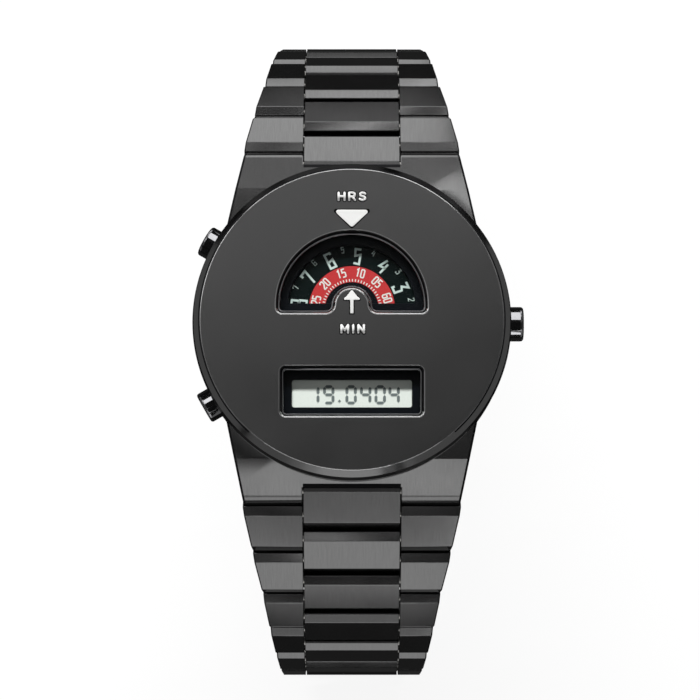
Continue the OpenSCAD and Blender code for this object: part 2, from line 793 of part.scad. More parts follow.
// Pushers
module pusher(angle) {
    edge = 0.3;
    shoulder = pusher_end - edge;
    color(dark_steel) radial(angle) union() {
        difference() {
            union() {
                translate([0, 0, pusher_start]) cylinder(r = pusher_r, h = shoulder - pusher_start);
                translate([0, 0, shoulder]) cylinder(r1 = pusher_r, r2 = pusher_r - edge, h = edge);
            }
            translate([0, 0, pusher_start - overlap]) cylinder(r = pusher_r - 0.5,
                h = spring_seat - pusher_start + overlap);
        }
        difference() {
            translate([0, 0, pusher_stem_end]) cylinder(r = pusher_stem_r, h = spring_seat
                - pusher_stem_end + 0.1);
            tube(pusher_stem_r + overlap, pusher_stem_r - 0.15, hollow_r - clip_t - 0.05, clip_t);
        }
    }
}

module pusher_clip(angle) {
    color(bright_steel) radial(angle) difference() {
        tube(clip_r, pusher_stem_r - 0.15 + held_fit, hollow_r - clip_t - 0.05, clip_t);
        translate([-2, -pusher_stem_r + 0.15, hollow_r - 1]) cube([2, 2 * pusher_stem_r - 0.3, 2]);
    }
}

module upper_pusher() {
    pusher(upper_pusher_at);
}

module lower_pusher() {
    pusher(lower_pusher_at);
}

module upper_pusher_clip() {
    pusher_clip(upper_pusher_at);
}

module lower_pusher_clip() {
    pusher_clip(lower_pusher_at);
}

module pusher_springs() {
    wire_r = 0.08;
    seat = 0.03;
    free = spring_seat - pusher_travel - recess_r - 2 * seat - 0.02;
    color(bright_steel) for (angle = [upper_pusher_at, lower_pusher_at]) radial(angle)
        translate([0, 0, recess_r + seat]) coil(pusher_stem_r + 0.45, wire_r, 2.5, free);
}

// Bracelet
module link_side(from, to) {
    linear_extrude(bracelet_w1 * 2, center = true) polygon([
        [from, link_top - bevel_drop], [from + bevel_run, link_top], [to - bevel_run, link_top],
        [to, link_top - bevel_drop], [to, under_chamfer - link_under], [to - under_chamfer, -link_under],
        [from + under_chamfer, -link_under], [from, under_chamfer - link_under]]);
}

module link(wide, narrow) {
    far = pitch + nose;
    half = pitch / 2;
    pin_half = narrow / 2 + (wide - narrow) / 2 * nose / block_len - pin_inset;
    color(steel) difference() {
        intersection() {
            rotate([90, 0, 90]) link_side(-nose, block_len - nose);
            slab(centre_w, 4 * block_len, -watch_h, 2 * watch_h);
        }
        rod(hinge_pin_r + running_fit, centre_w);
        translate([0, half, 0]) rod(fixing_pin_r + held_fit, centre_w);
    }
    color(steel) for (side = [0, 1]) mirror([side, 0, 0]) difference() {
        intersection() {
            rotate([90, 0, 90]) link_side(block_start, far);
            translate([0, 0, -watch_h]) linear_extrude(2 * watch_h)
                polygon([[lug_inner_x, block_start], [wide / 2, block_start], [narrow / 2, far],
                    [lug_inner_x, far]]);
        }
        translate([0, pitch, 0]) rod(hinge_pin_r + held_fit, bracelet_w1);
        translate([0, half, 0]) rod(fixing_pin_r + held_fit, bracelet_w1);
    }
    color(bright_steel) {
        translate([0, pitch, 0]) rod(hinge_pin_r, pin_half);
        translate([0, half, 0]) rod(fixing_pin_r, pin_half);
    }
}

module on_row(slopes, k) {
    at = hinge_at(slopes, k);
    translate([0, at[0], at[1]]) rotate([-slopes[k - 1], 0, 0]) children();
}

module upper_link(k) {
    on_row(upper_slopes, k) link(row_width(k), row_width(k + 1));
}

module lower_link(k) {
    mirror([0, 1, 0]) on_row(lower_slopes, k) link(row_width(k), row_width(k + 1));
}

// Clasp. Lengths run along its bow, and heights are measured from the line of its hinges.
module on_bow(s) {
    translate([0, 0, -clasp_r]) rotate([-s / clasp_r * 180 / PI, 0, 0]) translate([0, 0, clasp_r])
        children();
}

module bow_piece(from, to, half_w, low, high) {
    start_a = from / clasp_r * 180 / PI;
    end_a = to / clasp_r * 180 / PI;
    reach = clasp_r * 1.2;
    translate([0, 0, -clasp_r]) intersection() {
        difference() {
            rod(clasp_r + high, half_w);
            rod(clasp_r + low, half_w + overlap);
        }
        rotate([90, 0, 90]) linear_extrude(2 * half_w, center = true)
            polygon([[0, 0], reach * [sin(start_a), cos(start_a)], reach * [sin(end_a), cos(end_a)]]);
    }
}

module on_tongue() {
    translate([0, upper_end[0], upper_end[1]]) rotate([clasp_bow - 180, 0, 0]) children();
}

module on_clasp() {
    mirror([0, 1, 0]) translate([0, lower_end[0], lower_end[1]]) rotate([clasp_bow - 180, 0, 0])
        children();
}

module clasp_tongue() {
    color(steel) on_tongue() difference() {
        union() {
            intersection() {
                rotate([90, 0, 90]) link_side(-nose, block_len);
                translate([-centre_w / 2, -nose - overlap, -watch_h])
                    cube([centre_w, overlap + nose + 2, 2 * watch_h]);
            }
            bow_piece(1.9, tongue_block, centre_w / 2, -link_under, link_top);
            bow_piece(tongue_block - 0.5, tongue_block + tongue_len, tongue_w / 2, blade_low, blade_high);
        }
        rod(hinge_pin_r + running_fit, centre_w);
    }
}

module button_window() {
    on_bow(button_at) translate([-clasp_w, -button_len / 2 - set_gap, button_low - set_gap])
        cube([2 * clasp_w, button_len + 2 * set_gap, button_high - button_low + 2 * set_gap]);
}

module clasp_cover() {
    color(steel) on_clasp() difference() {
        union() {
            intersection() {
                rotate([90, 0, 90]) link_side(-nose, block_len);
                translate([-centre_w / 2, -nose - overlap, -watch_h])
                    cube([centre_w, overlap + nose + 3.5, 2 * watch_h]);
            }
            bow_piece(cover_start, cover_end, clasp_w / 2, cover_floor, link_top);
            difference() {
                bow_piece(cover_start, cover_end, clasp_w / 2, -link_under, cover_floor + 0.1);
                bow_piece(cover_start + clasp_wall, cover_end + 2, wall_x, -link_under - overlap,
                    cover_floor + 0.2);
            }
        }
        rod(hinge_pin_r + running_fit, centre_w);
        button_window();
    }
}

module clasp_button() {
    low = button_low;
    high = button_high;
    carrier_back = button_at - spring_at + spring_r + 0.6;
    color(dark_steel) on_clasp() on_bow(button_at) union() {
        translate([carrier_x - 0.1, -button_len / 2, low])
            cube([clasp_w / 2 + button_out - carrier_x + 0.1, button_len, high - low]);
        translate([carrier_x - carrier_t, -carrier_back, low - 0.1])
            cube([carrier_t, carrier_back + button_len / 2 + 0.4, high - low]);
        translate([catch_x, -0.9, low]) cube([carrier_x - carrier_t - catch_x + 0.1, 1.8, 0.6]);
    }
}

module left_clasp_button() {
    mirror([1, 0, 0]) clasp_button();
}

module right_clasp_button() {
    clasp_button();
}

module button_spring() {
    half = carrier_x - carrier_t - button_travel - 0.1;
    axis_z = cover_floor - 0.05 - spring_r - spring_wire_r;
    color(bright_steel) on_clasp() on_bow(spring_at) translate([0, 0, axis_z]) rotate([0, 90, 0])
        translate([0, 0, -half]) coil(spring_r, spring_wire_r, 12, 2 * half);
}

case_middle();
front_plate();
dial_window();
display_window();
dial_mask();
case_back();
case_back_gasket();
case_back_screws();
movement_holder();
movement_plate();
circuit_board();
battery();
battery_clip();
motor_coil();
motor_core();
quartz_crystal();
display_panel();
display_carrier();
contact_strips();
contact_springs();
hour_mark();
minute_mark();
hour_disc();
minute_disc();
intermediate_wheel();
crown();
crown_stem();
stem_yoke();
crown_tube();
upper_pusher();
lower_pusher();
upper_pusher_clip();
lower_pusher_clip();
pusher_springs();
lug_pins();
clasp_tongue();
clasp_cover();
left_clasp_button();
right_clasp_button();
button_spring();
for (k = [1:upper_count]) upper_link(k);
for (k = [1:lower_count]) lower_link(k);
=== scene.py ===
import json
import math

import bmesh
import bpy
from mathutils import Matrix, Vector
from mathutils.geometry import delaunay_2d_cdt


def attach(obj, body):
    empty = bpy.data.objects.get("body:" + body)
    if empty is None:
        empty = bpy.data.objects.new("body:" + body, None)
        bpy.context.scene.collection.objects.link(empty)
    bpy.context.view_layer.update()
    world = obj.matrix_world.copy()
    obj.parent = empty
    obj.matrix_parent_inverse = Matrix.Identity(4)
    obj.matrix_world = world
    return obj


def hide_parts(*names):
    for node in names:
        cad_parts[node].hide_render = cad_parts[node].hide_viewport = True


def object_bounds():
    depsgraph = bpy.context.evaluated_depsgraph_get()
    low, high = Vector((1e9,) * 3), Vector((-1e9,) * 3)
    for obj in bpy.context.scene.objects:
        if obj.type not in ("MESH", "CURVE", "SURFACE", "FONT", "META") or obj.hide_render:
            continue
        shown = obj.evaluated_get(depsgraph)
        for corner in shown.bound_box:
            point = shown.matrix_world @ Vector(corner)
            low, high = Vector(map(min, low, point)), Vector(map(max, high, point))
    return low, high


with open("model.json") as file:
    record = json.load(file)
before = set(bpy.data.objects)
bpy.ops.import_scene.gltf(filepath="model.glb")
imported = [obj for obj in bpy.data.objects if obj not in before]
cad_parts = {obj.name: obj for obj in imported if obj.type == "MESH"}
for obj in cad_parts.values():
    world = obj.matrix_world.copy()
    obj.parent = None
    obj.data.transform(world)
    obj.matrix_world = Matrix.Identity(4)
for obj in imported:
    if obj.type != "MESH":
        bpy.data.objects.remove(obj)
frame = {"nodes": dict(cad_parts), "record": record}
cad_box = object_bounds()
NODES = frame["nodes"]

# Sizes are in millimetres where they are written, and turned into metres here
MM = 0.001

# Heights and radii of the watch, as in the part's source
WATCH_TOP = 11.0
PLATE_LOW = 8.5
ROOF_LOW = 10.1
HOUR_DISC_TOP = 7.77
MINUTE_DISC_TOP = 8.0
PANEL_TOP = 8.05
BUTTON_Z = 6.0
PLATE_R = 20.0
FACE_R = 18.95
# The dial's and the display's openings, and how far the glass pockets reach past them
DISC_Y = 1.7
DIAL_R = 9.3
DIAL_LOW_Y = 0.8
HUB_R = 2.25
DISPLAY_Y = -9.1
DISPLAY_W = 17.6
DISPLAY_H = 6.05
WINDOW_CORNER = 0.6
GLASS_REACH = 0.97
# How wide the rounded edge of the plate and of its openings is
LIP = 0.3
# Half the space between two lugs, and how far out the case shows in it
LINK_HALF = 6.15
STRIP_Y = 20.15


def linear(red, green, blue):
    """A colour as it looks on a screen, from 0 to 255, as the shader's light value."""
    def one(value):
        share = value / 255
        return share / 12.92 if share <= 0.04045 else ((share + 0.055) / 1.055) ** 2.4
    return one(red), one(green), one(blue), 1.0


def node_of(tree, kind):
    """The node of that type in a tree that has one."""
    return next(node for node in tree.nodes if node.type == kind)


def fresh_material(name):
    """A new material with its node tree and its main shader."""
    material = bpy.data.materials.new(name)
    material.use_nodes = True
    return material, material.node_tree, node_of(material.node_tree, "BSDF_PRINCIPLED")


def bare_material(name):
    """A new material with an empty node tree."""
    material, tree, _ = fresh_material(name)
    tree.nodes.clear()
    return material, tree


def noise(tree, grain, stretch=(1, 1, 1), detail=3.0):
    """Noise whose grains are about that many millimetres, drawn out where stretch is over 1."""
    place = tree.nodes.new("ShaderNodeTexCoord")
    draw = tree.nodes.new("ShaderNodeMapping")
    draw.inputs["Scale"].default_value = [1 / (grain * MM * part) for part in stretch]
    field = tree.nodes.new("ShaderNodeTexNoise")
    field.inputs["Scale"].default_value = 1.0
    field.inputs["Detail"].default_value = detail
    field.inputs["Roughness"].default_value = 0.55
    tree.links.new(place.outputs["Object"], draw.inputs["Vector"])
    tree.links.new(draw.outputs["Vector"], field.inputs["Vector"])
    return field.outputs["Fac"]


def spread(tree, value, low, high, start=0.3, end=0.7):
    """Maps start to end, by default the noise's middle range, onto low to high."""
    node = tree.nodes.new("ShaderNodeMapRange")
    node.inputs["From Min"].default_value = start
    node.inputs["From Max"].default_value = end
    node.inputs["To Min"].default_value = low
    node.inputs["To Max"].default_value = high
    tree.links.new(value, node.inputs["Value"])
    return node.outputs["Result"]


def shade(tree, colour, factor):
    """The colour times a factor that varies over the surface."""
    node = tree.nodes.new("ShaderNodeVectorMath")
    node.operation = "SCALE"
    node.inputs[0].default_value = colour[:3]
    tree.links.new(factor, node.inputs["Scale"])
    return node.outputs["Vector"]


def worked_surface(name, colour, metal, rough, tone=0.12, rough_span=0.05, grain=0.12,
                   stretch=(1, 1, 1), depth=0.0, broad=6.0, coat=0.0, gloss=0.5):
    """A finish whose colour and roughness vary in fine grain and in broad patches."""
    material, tree, shader = fresh_material(name)
    fine = noise(tree, grain, stretch)
    patches = noise(tree, broad, detail=2.0)
    shader.inputs["Metallic"].default_value = metal
    shader.inputs["Specular IOR Level"].default_value = gloss
    shader.inputs["Coat Weight"].default_value = coat
    shader.inputs["Coat Roughness"].default_value = 0.05
    tree.links.new(shade(tree, colour, spread(tree, fine, 1 - tone, 1 + tone)),
                   shader.inputs["Base Color"])
    tree.links.new(spread(tree, patches, rough - rough_span, rough + rough_span),
                   shader.inputs["Roughness"])
    if depth:
        bump = tree.nodes.new("ShaderNodeBump")
        bump.inputs["Strength"].default_value = 1.0
        bump.inputs["Distance"].default_value = depth * MM
        tree.links.new(fine, bump.inputs["Height"])
        tree.links.new(bump.outputs["Normal"], shader.inputs["Normal"])
    return material


def deeper_upwards(material, low, high, least):
    """Paints shade into a finish: darker towards twelve o'clock, from one distance off the middle
    to another.
    """
    tree = material.node_tree
    colour = node_of(tree, "BSDF_PRINCIPLED").inputs["Base Color"]
    place = tree.nodes.new("ShaderNodeTexCoord")
    parts = tree.nodes.new("ShaderNodeSeparateXYZ")
    tree.links.new(place.outputs["Object"], parts.inputs["Vector"])
    share = spread(tree, parts.outputs["Y"], 1.0, least, low * MM, high * MM)
    shaded_colour = tree.nodes.new("ShaderNodeVectorMath")
    shaded_colour.operation = "SCALE"
    tree.links.new(colour.links[0].from_socket, shaded_colour.inputs[0])
    tree.links.new(share, shaded_colour.inputs["Scale"])
    tree.links.new(shaded_colour.outputs["Vector"], colour)


def clear_glass():
    """Flat mineral glass with a thin coating that leaves little of the mirror image."""
    material, tree = bare_material("mineral_glass")
    through = tree.nodes.new("ShaderNodeBsdfTransparent")
    through.inputs["Color"].default_value = (0.98, 0.985, 0.98, 1.0)
    polish = tree.nodes.new("ShaderNodeBsdfGlossy")
    tree.links.new(spread(tree, noise(tree, 2.5), 0.0, 0.03), polish.inputs["Roughness"])
    share = tree.nodes.new("ShaderNodeFresnel")
    share.inputs["IOR"].default_value = 1.5
    coated = tree.nodes.new("ShaderNodeMath")
    coated.operation = "MULTIPLY"
    coated.inputs[1].default_value = 0.06
    tree.links.new(share.outputs["Fac"], coated.inputs[0])
    mix = tree.nodes.new("ShaderNodeMixShader")
    out = tree.nodes.new("ShaderNodeOutputMaterial")
    tree.links.new(coated.outputs["Value"], mix.inputs["Fac"])
    tree.links.new(through.outputs["BSDF"], mix.inputs[1])
    tree.links.new(polish.outputs["BSDF"], mix.inputs[2])
    tree.links.new(mix.outputs["Shader"], out.inputs["Surface"])
    return material


GUNMETAL = (0.19, 0.19, 0.19)
ALONG = (1, 30, 30)
FINISH = {
    "satin_steel": worked_surface("brushed_gunmetal", GUNMETAL, 1.0, 0.18, tone=0.07,
                                  grain=0.07, stretch=ALONG, rough_span=0.02),
    "dark_polished_steel": worked_surface("polished_black_steel", (0.30, 0.30, 0.31), 1.0, 0.07,
                                          tone=0.04, rough_span=0.02, grain=0.4),
    "bright_steel": worked_surface("turned_steel", (0.52, 0.51, 0.49), 1.0, 0.24, tone=0.08,
                                   grain=0.08, depth=0.001),
    "window_glass": clear_glass(),
    "black_plastic": worked_surface("black_moulding", (0.004, 0.005, 0.007), 0.0, 0.32,
                                    tone=0.2, grain=0.1, depth=0.001, gloss=0.12),
    "gasket_rubber": worked_surface("gasket_rubber", (0.02, 0.02, 0.02), 0.0, 0.6, grain=0.1,
                                    depth=0.002),
    "movement_brass": worked_surface("gilt_brass", (0.60, 0.42, 0.18), 1.0, 0.3, grain=0.1,
                                     depth=0.001),
    "circuit_green": worked_surface("circuit_lacquer", (0.02, 0.13, 0.05), 0.0, 0.3, grain=0.3,
                                    coat=0.4),
    "copper_wire": worked_surface("copper_winding", (0.62, 0.26, 0.12), 1.0, 0.35,
                                  stretch=(1, 8, 1), depth=0.004),
    "display_grey": worked_surface("display_reflector", linear(216, 221, 216), 0.0, 0.45,
                                   tone=0.03, grain=0.15, broad=3.0, gloss=0.2),
    "carrier_white": worked_surface("carrier_moulding", (0.7, 0.7, 0.68), 0.0, 0.45, grain=0.2),
    "contact_rubber": worked_surface("contact_rubber", (0.35, 0.22, 0.2), 0.0, 0.6,
                                     tone=0.3, grain=0.2, stretch=(1, 10, 10)),
    "mark_white": worked_surface("white_lacquer", (0.62, 0.62, 0.61), 0.0, 0.35, tone=0.02,
                                 grain=0.1, gloss=0.3),
    "hour_disc_black": worked_surface("hour_disc_lacquer", linear(10, 19, 19), 0.0, 0.42,
                                      grain=0.08, depth=0.0005, gloss=0.12),
    "minute_disc_red": worked_surface("minute_disc_lacquer", linear(180, 54, 56), 0.0, 0.42,
                                      tone=0.08, grain=0.08, depth=0.0005, gloss=0.12),
}
PLATE_FINISH = worked_surface("blasted_gunmetal", GUNMETAL, 1.0, 0.33, tone=0.08, grain=0.05,
                              depth=0.0015, broad=9.0)
# Painted highlight: a bright polish that the plate's lips wear only where they face twelve o'clock
# and at the rim.
LIP_HIGHLIGHT = worked_surface("lip_painted_highlight", (0.72, 0.72, 0.72), 1.0, 0.1, tone=0.03,
                            rough_span=0.02, grain=0.2)
# Painted shade: the slope's satin finish gets darker towards twelve o'clock, down to about a
# quarter of its colour.
SLOPE_SHADED_SATIN = worked_surface("satin_slope_painted_shade", GUNMETAL, 1.0, 0.17, tone=0.05, rough_span=0.02,
                             grain=0.2)
deeper_upwards(SLOPE_SHADED_SATIN, 7, 17, 0.26)
# Flat black that stands for shade: painted shade on the side chamfers of links and case, between
# the lugs, on the plate's unlit lips and lower wall, and in the line round the plate.
SHADE_BLACK = worked_surface("painted_shade_black", (0.007, 0.007, 0.0075), 0.0, 0.45, tone=0.1,
                            grain=0.2, gloss=0.06)
OUTLINE_BLACK = worked_surface("black_outline", (0.004, 0.004, 0.004), 0.0, 0.4, tone=0.2,
                               grain=0.1, gloss=0.1)
NUMERAL_PALE = worked_surface("pale_numeral_ink", linear(188, 204, 200), 0.0, 0.45, tone=0.08,
                              grain=0.08, gloss=0.2)
NUMERAL_WHITE = worked_surface("white_numeral_ink", linear(214, 212, 208), 0.0, 0.45, tone=0.03,
                               grain=0.08, gloss=0.2)
SEGMENT_INK = worked_surface("display_segment", linear(104, 112, 112), 0.0, 0.4, tone=0.06,
                             grain=0.1, gloss=0.2)
SEGMENT_SHADOW = worked_surface("segment_shadow", linear(186, 192, 188), 0.0, 0.5, tone=0.03,
                                grain=0.1, gloss=0.2)


def add_piece(name, mesh, body, slot, *finishes):
    """A finished mesh as a piece that rides on a body."""
    piece = bpy.data.objects.new(name, mesh)
    bpy.context.scene.collection.objects.link(piece)
    for finish in finishes or (FINISH[slot],):
        mesh.materials.append(finish)
    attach(piece, body)
    return piece


def even_shading(piece, crease=33):
    """Smooth shading that keeps large flats flat and runs round the broken edges."""
    for face in piece.data.polygons:
        face.use_smooth = True
    piece.data.set_sharp_from_angle(angle=math.radians(crease))
    weighted = piece.modifiers.new("flats", "WEIGHTED_NORMAL")
    weighted.weight = 90
    weighted.keep_sharp = True


def islands(bm):
    """The separate solids of a mesh, as lists of vertices."""
    left = set(bm.verts)
    found = []
    while left:
        start = left.pop()
        group, edge = [start], [start]
        while edge:
            vert = edge.pop()
            for link in vert.link_edges:
                other = link.other_vert(vert)
                if other in left:
                    left.remove(other)
                    group.append(other)
                    edge.append(other)
        found.append(group)
    return found


def side_chamfers(bm, width):
    """Cuts the upper edges of the outer sides back. Gives the new faces."""
    def outward(face):
        centre = face.calc_center_median()
        return (abs(face.normal.x) > 0.9 and abs(centre.x) > 7.5 * MM
                and abs(centre.y) > 12 * MM)

    chosen = []
    for edge in bm.edges:
        if len(edge.link_faces) != 2:
            continue
        one, two = edge.link_faces
        for side, other in ((one, two), (two, one)):
            if outward(side) and other.normal.z > 0.2 and abs(other.normal.x) < 0.5:
                chosen.append(edge)
    cut = bmesh.ops.bevel(bm, geom=chosen, affect="EDGES", offset=width * MM,
                          offset_type="OFFSET", segments=1, profile=0.5, clamp_overlap=False,
                          material=-1)
    return cut["faces"]


def between_lugs(centre):
    """Whether a face's middle is in the strip of the case that shows between two lugs, where the
    case is painted flat black as painted shade.
    """
    return abs(centre.x) < LINK_HALF * MM and abs(centre.y) > STRIP_Y * MM


def worked_solid(node, body, slot, broken, pin_finish=None, chamfer=0.0, painted_shade_at=None,
                 crease=33):
    """The node's own solids with their sharp edges broken, in place of the node. A slim rod among
    them takes the pins' finish. Side chamfers and the places that the given test picks are painted
    flat black, as painted shade."""
    steel_mat, pin_mat, shade_mat = 0, 1, 2
    pin_most = 1.3
    bm = bmesh.new()
    bm.from_mesh(NODES[node].data)
    bmesh.ops.remove_doubles(bm, verts=bm.verts, dist=0.002 * MM)
    bmesh.ops.dissolve_limit(bm, angle_limit=math.radians(1.5), verts=bm.verts, edges=bm.edges)
    if painted_shade_at:
        for co, no in (((-LINK_HALF, 0, 0), (1, 0, 0)), ((LINK_HALF, 0, 0), (1, 0, 0)),
                       ((0, -STRIP_Y, 0), (0, 1, 0)), ((0, STRIP_Y, 0), (0, 1, 0))):
            bmesh.ops.bisect_plane(bm, geom=bm.verts[:] + bm.edges[:] + bm.faces[:], dist=1e-7,
                                   plane_co=Vector(co) * MM, plane_no=no)
    bm.normal_update()
    # Painted shade: the cut side chamfers are painted flat black.
    if chamfer:
        for face in side_chamfers(bm, chamfer):
            face.material_index = shade_mat
    sharp = [edge for edge in bm.edges
             if edge.is_manifold and edge.calc_face_angle(0) > math.radians(24)
             and all(face.material_index == steel_mat for face in edge.link_faces)]
    bmesh.ops.bevel(bm, geom=sharp, affect="EDGES", offset=broken * MM, offset_type="OFFSET",
                    segments=2, profile=0.5, clamp_overlap=False, material=-1)
    if pin_finish:
        for group in islands(bm):
            deep = max(vert.co.z for vert in group) - min(vert.co.z for vert in group)
            if deep < pin_most * MM:
                for vert in group:
                    for face in vert.link_faces:
                        face.material_index = pin_mat
    bm.normal_update()
    # Painted shade: the upward faces that the test picks, between the lugs, are painted flat
    # black.
    for face in bm.faces:
        if painted_shade_at and face.normal.z > 0.15 and painted_shade_at(face.calc_center_median()):
            face.material_index = shade_mat
    name = node + "_worked"
    piece = add_piece(name, as_mesh(bm, name), body, slot, FINISH[slot],
                      pin_finish or FINISH[slot], SHADE_BLACK)
    even_shading(piece, crease)
    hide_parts(node)


def arc(centre, radius, start, end, steps):
    """Points along an arc, from one angle to another in degrees."""
    points = []
    for step in range(steps + 1):
        angle = math.radians(start + (end - start) * step / steps)
        points.append((centre[0] + radius * math.cos(angle), centre[1] + radius * math.sin(angle)))
    return points


def rounded_box(centre, width, height, corner):
    """The outline of a box with rounded corners."""
    x, y = width / 2 - corner, height / 2 - corner
    points = []
    for sign_x, sign_y, start in ((1, 1, 0), (-1, 1, 90), (-1, -1, 180), (1, -1, 270)):
        points += arc((centre[0] + sign_x * x, centre[1] + sign_y * y), corner, start,
                      start + 90, 8)
    return points


def dial_outline(radius, low_y, hub, corner, flare):
    """The dial opening: a half disc with rounded corners, its hub standing in the lower edge."""
    centre = (0, DISC_Y)
    corner_y = low_y + corner - DISC_Y
    corner_x = math.sqrt((radius - corner) ** 2 - corner_y ** 2)
    flare_y = low_y + flare - DISC_Y
    flare_x = math.sqrt((hub + flare) ** 2 - flare_y ** 2)
    outer = math.degrees(math.atan2(corner_y, corner_x))
    inner = math.degrees(math.atan2(flare_y, flare_x))
    points = arc(centre, radius, outer, 180 - outer, 96)
    points += arc((-corner_x, low_y + corner), corner, 180 - outer, 270, 10)
    points += arc((-flare_x, low_y + flare), flare, 270, 360 - inner, 10)
    points += arc(centre, hub, 180 - inner, inner, 40)
    points += arc((flare_x, low_y + flare), flare, 180 + inner, 270, 10)
    points += arc((corner_x, low_y + corner), corner, -90, outer, 10)
    return points


def flat_form(outlines, low, high, rounded, steps=3):
    """A flat form with those outlines, from low to high, with its edges rounded. A bmesh."""
    curve = bpy.data.curves.new("outline", "CURVE")
    curve.dimensions = "2D"
    curve.fill_mode = "BOTH"
    curve.extrude = ((high - low) / 2 - rounded) * MM
    curve.bevel_depth = rounded * MM
    curve.bevel_resolution = steps - 1
    curve.offset = -rounded * MM
    for outline in outlines:
        outline = [point for point, before in zip(outline, outline[-1:] + outline[:-1])
                   if math.dist(point, before) > 1e-4]
        spline = curve.splines.new("POLY")
        spline.points.add(len(outline) - 1)
        for point, (x, y) in zip(spline.points, outline):
            point.co = (x * MM, y * MM, 0, 1)
        spline.use_cyclic_u = True
    holder = bpy.data.objects.new("outline", curve)
    bpy.context.scene.collection.objects.link(holder)
    solid = bpy.data.meshes.new_from_object(holder.evaluated_get(
        bpy.context.evaluated_depsgraph_get()))
    bm = bmesh.new()
    bm.from_mesh(solid)
    bpy.data.objects.remove(holder)
    bpy.data.curves.remove(curve)
    bpy.data.meshes.remove(solid)
    bmesh.ops.remove_doubles(bm, verts=bm.verts, dist=0.001 * MM)
    bmesh.ops.translate(bm, verts=bm.verts, vec=(0, 0, (low + high) / 2 * MM))
    bmesh.ops.recalc_face_normals(bm, faces=bm.faces)
    return bm


def as_mesh(bm, name):
    """The bmesh as a mesh of that name; the bmesh is done with."""
    mesh = bpy.data.meshes.new(name)
    bm.to_mesh(mesh)
    bm.free()
    return mesh


def filled_level(bm, height):
    """Closes the flat at that height between all the open edges that lie in it."""
    edges = [edge for edge in bm.edges if edge.is_boundary
             and all(abs(vert.co.z - height * MM) < 1e-6 for vert in edge.verts)]
    verts = list(dict.fromkeys(vert for edge in edges for vert in edge.verts))
    number = {vert: place for place, vert in enumerate(verts)}
    lines = [(number[edge.verts[0]], number[edge.verts[1]]) for edge in edges]
    flat = [vert.co.xy / MM for vert in verts]
    found = delaunay_2d_cdt(flat, lines, [], 0, 1e-7)
    for face in found[2]:
        centre = sum((found[0][corner] for corner in face), Vector((0, 0))) / 3
        crossed = 0
        for one, other in lines:
            (x_one, y_one), (x_other, y_other) = flat[one], flat[other]
            if (y_one > centre.y) != (y_other > centre.y):
                across = x_one + (centre.y - y_one) * (x_other - x_one) / (y_other - y_one)
                crossed += across > centre.x
        if crossed % 2:
            bm.faces.new([verts[found[3][corner][0]] for corner in face])


def flats(bm):
    """The level faces at the form's two ends."""
    heights = [vert.co.z for vert in bm.verts]
    return [face for face in bm.faces
            if all(abs(vert.co.z - min(heights)) < 1e-6 for vert in face.verts)
            or all(abs(vert.co.z - max(heights)) < 1e-6 for vert in face.verts)]


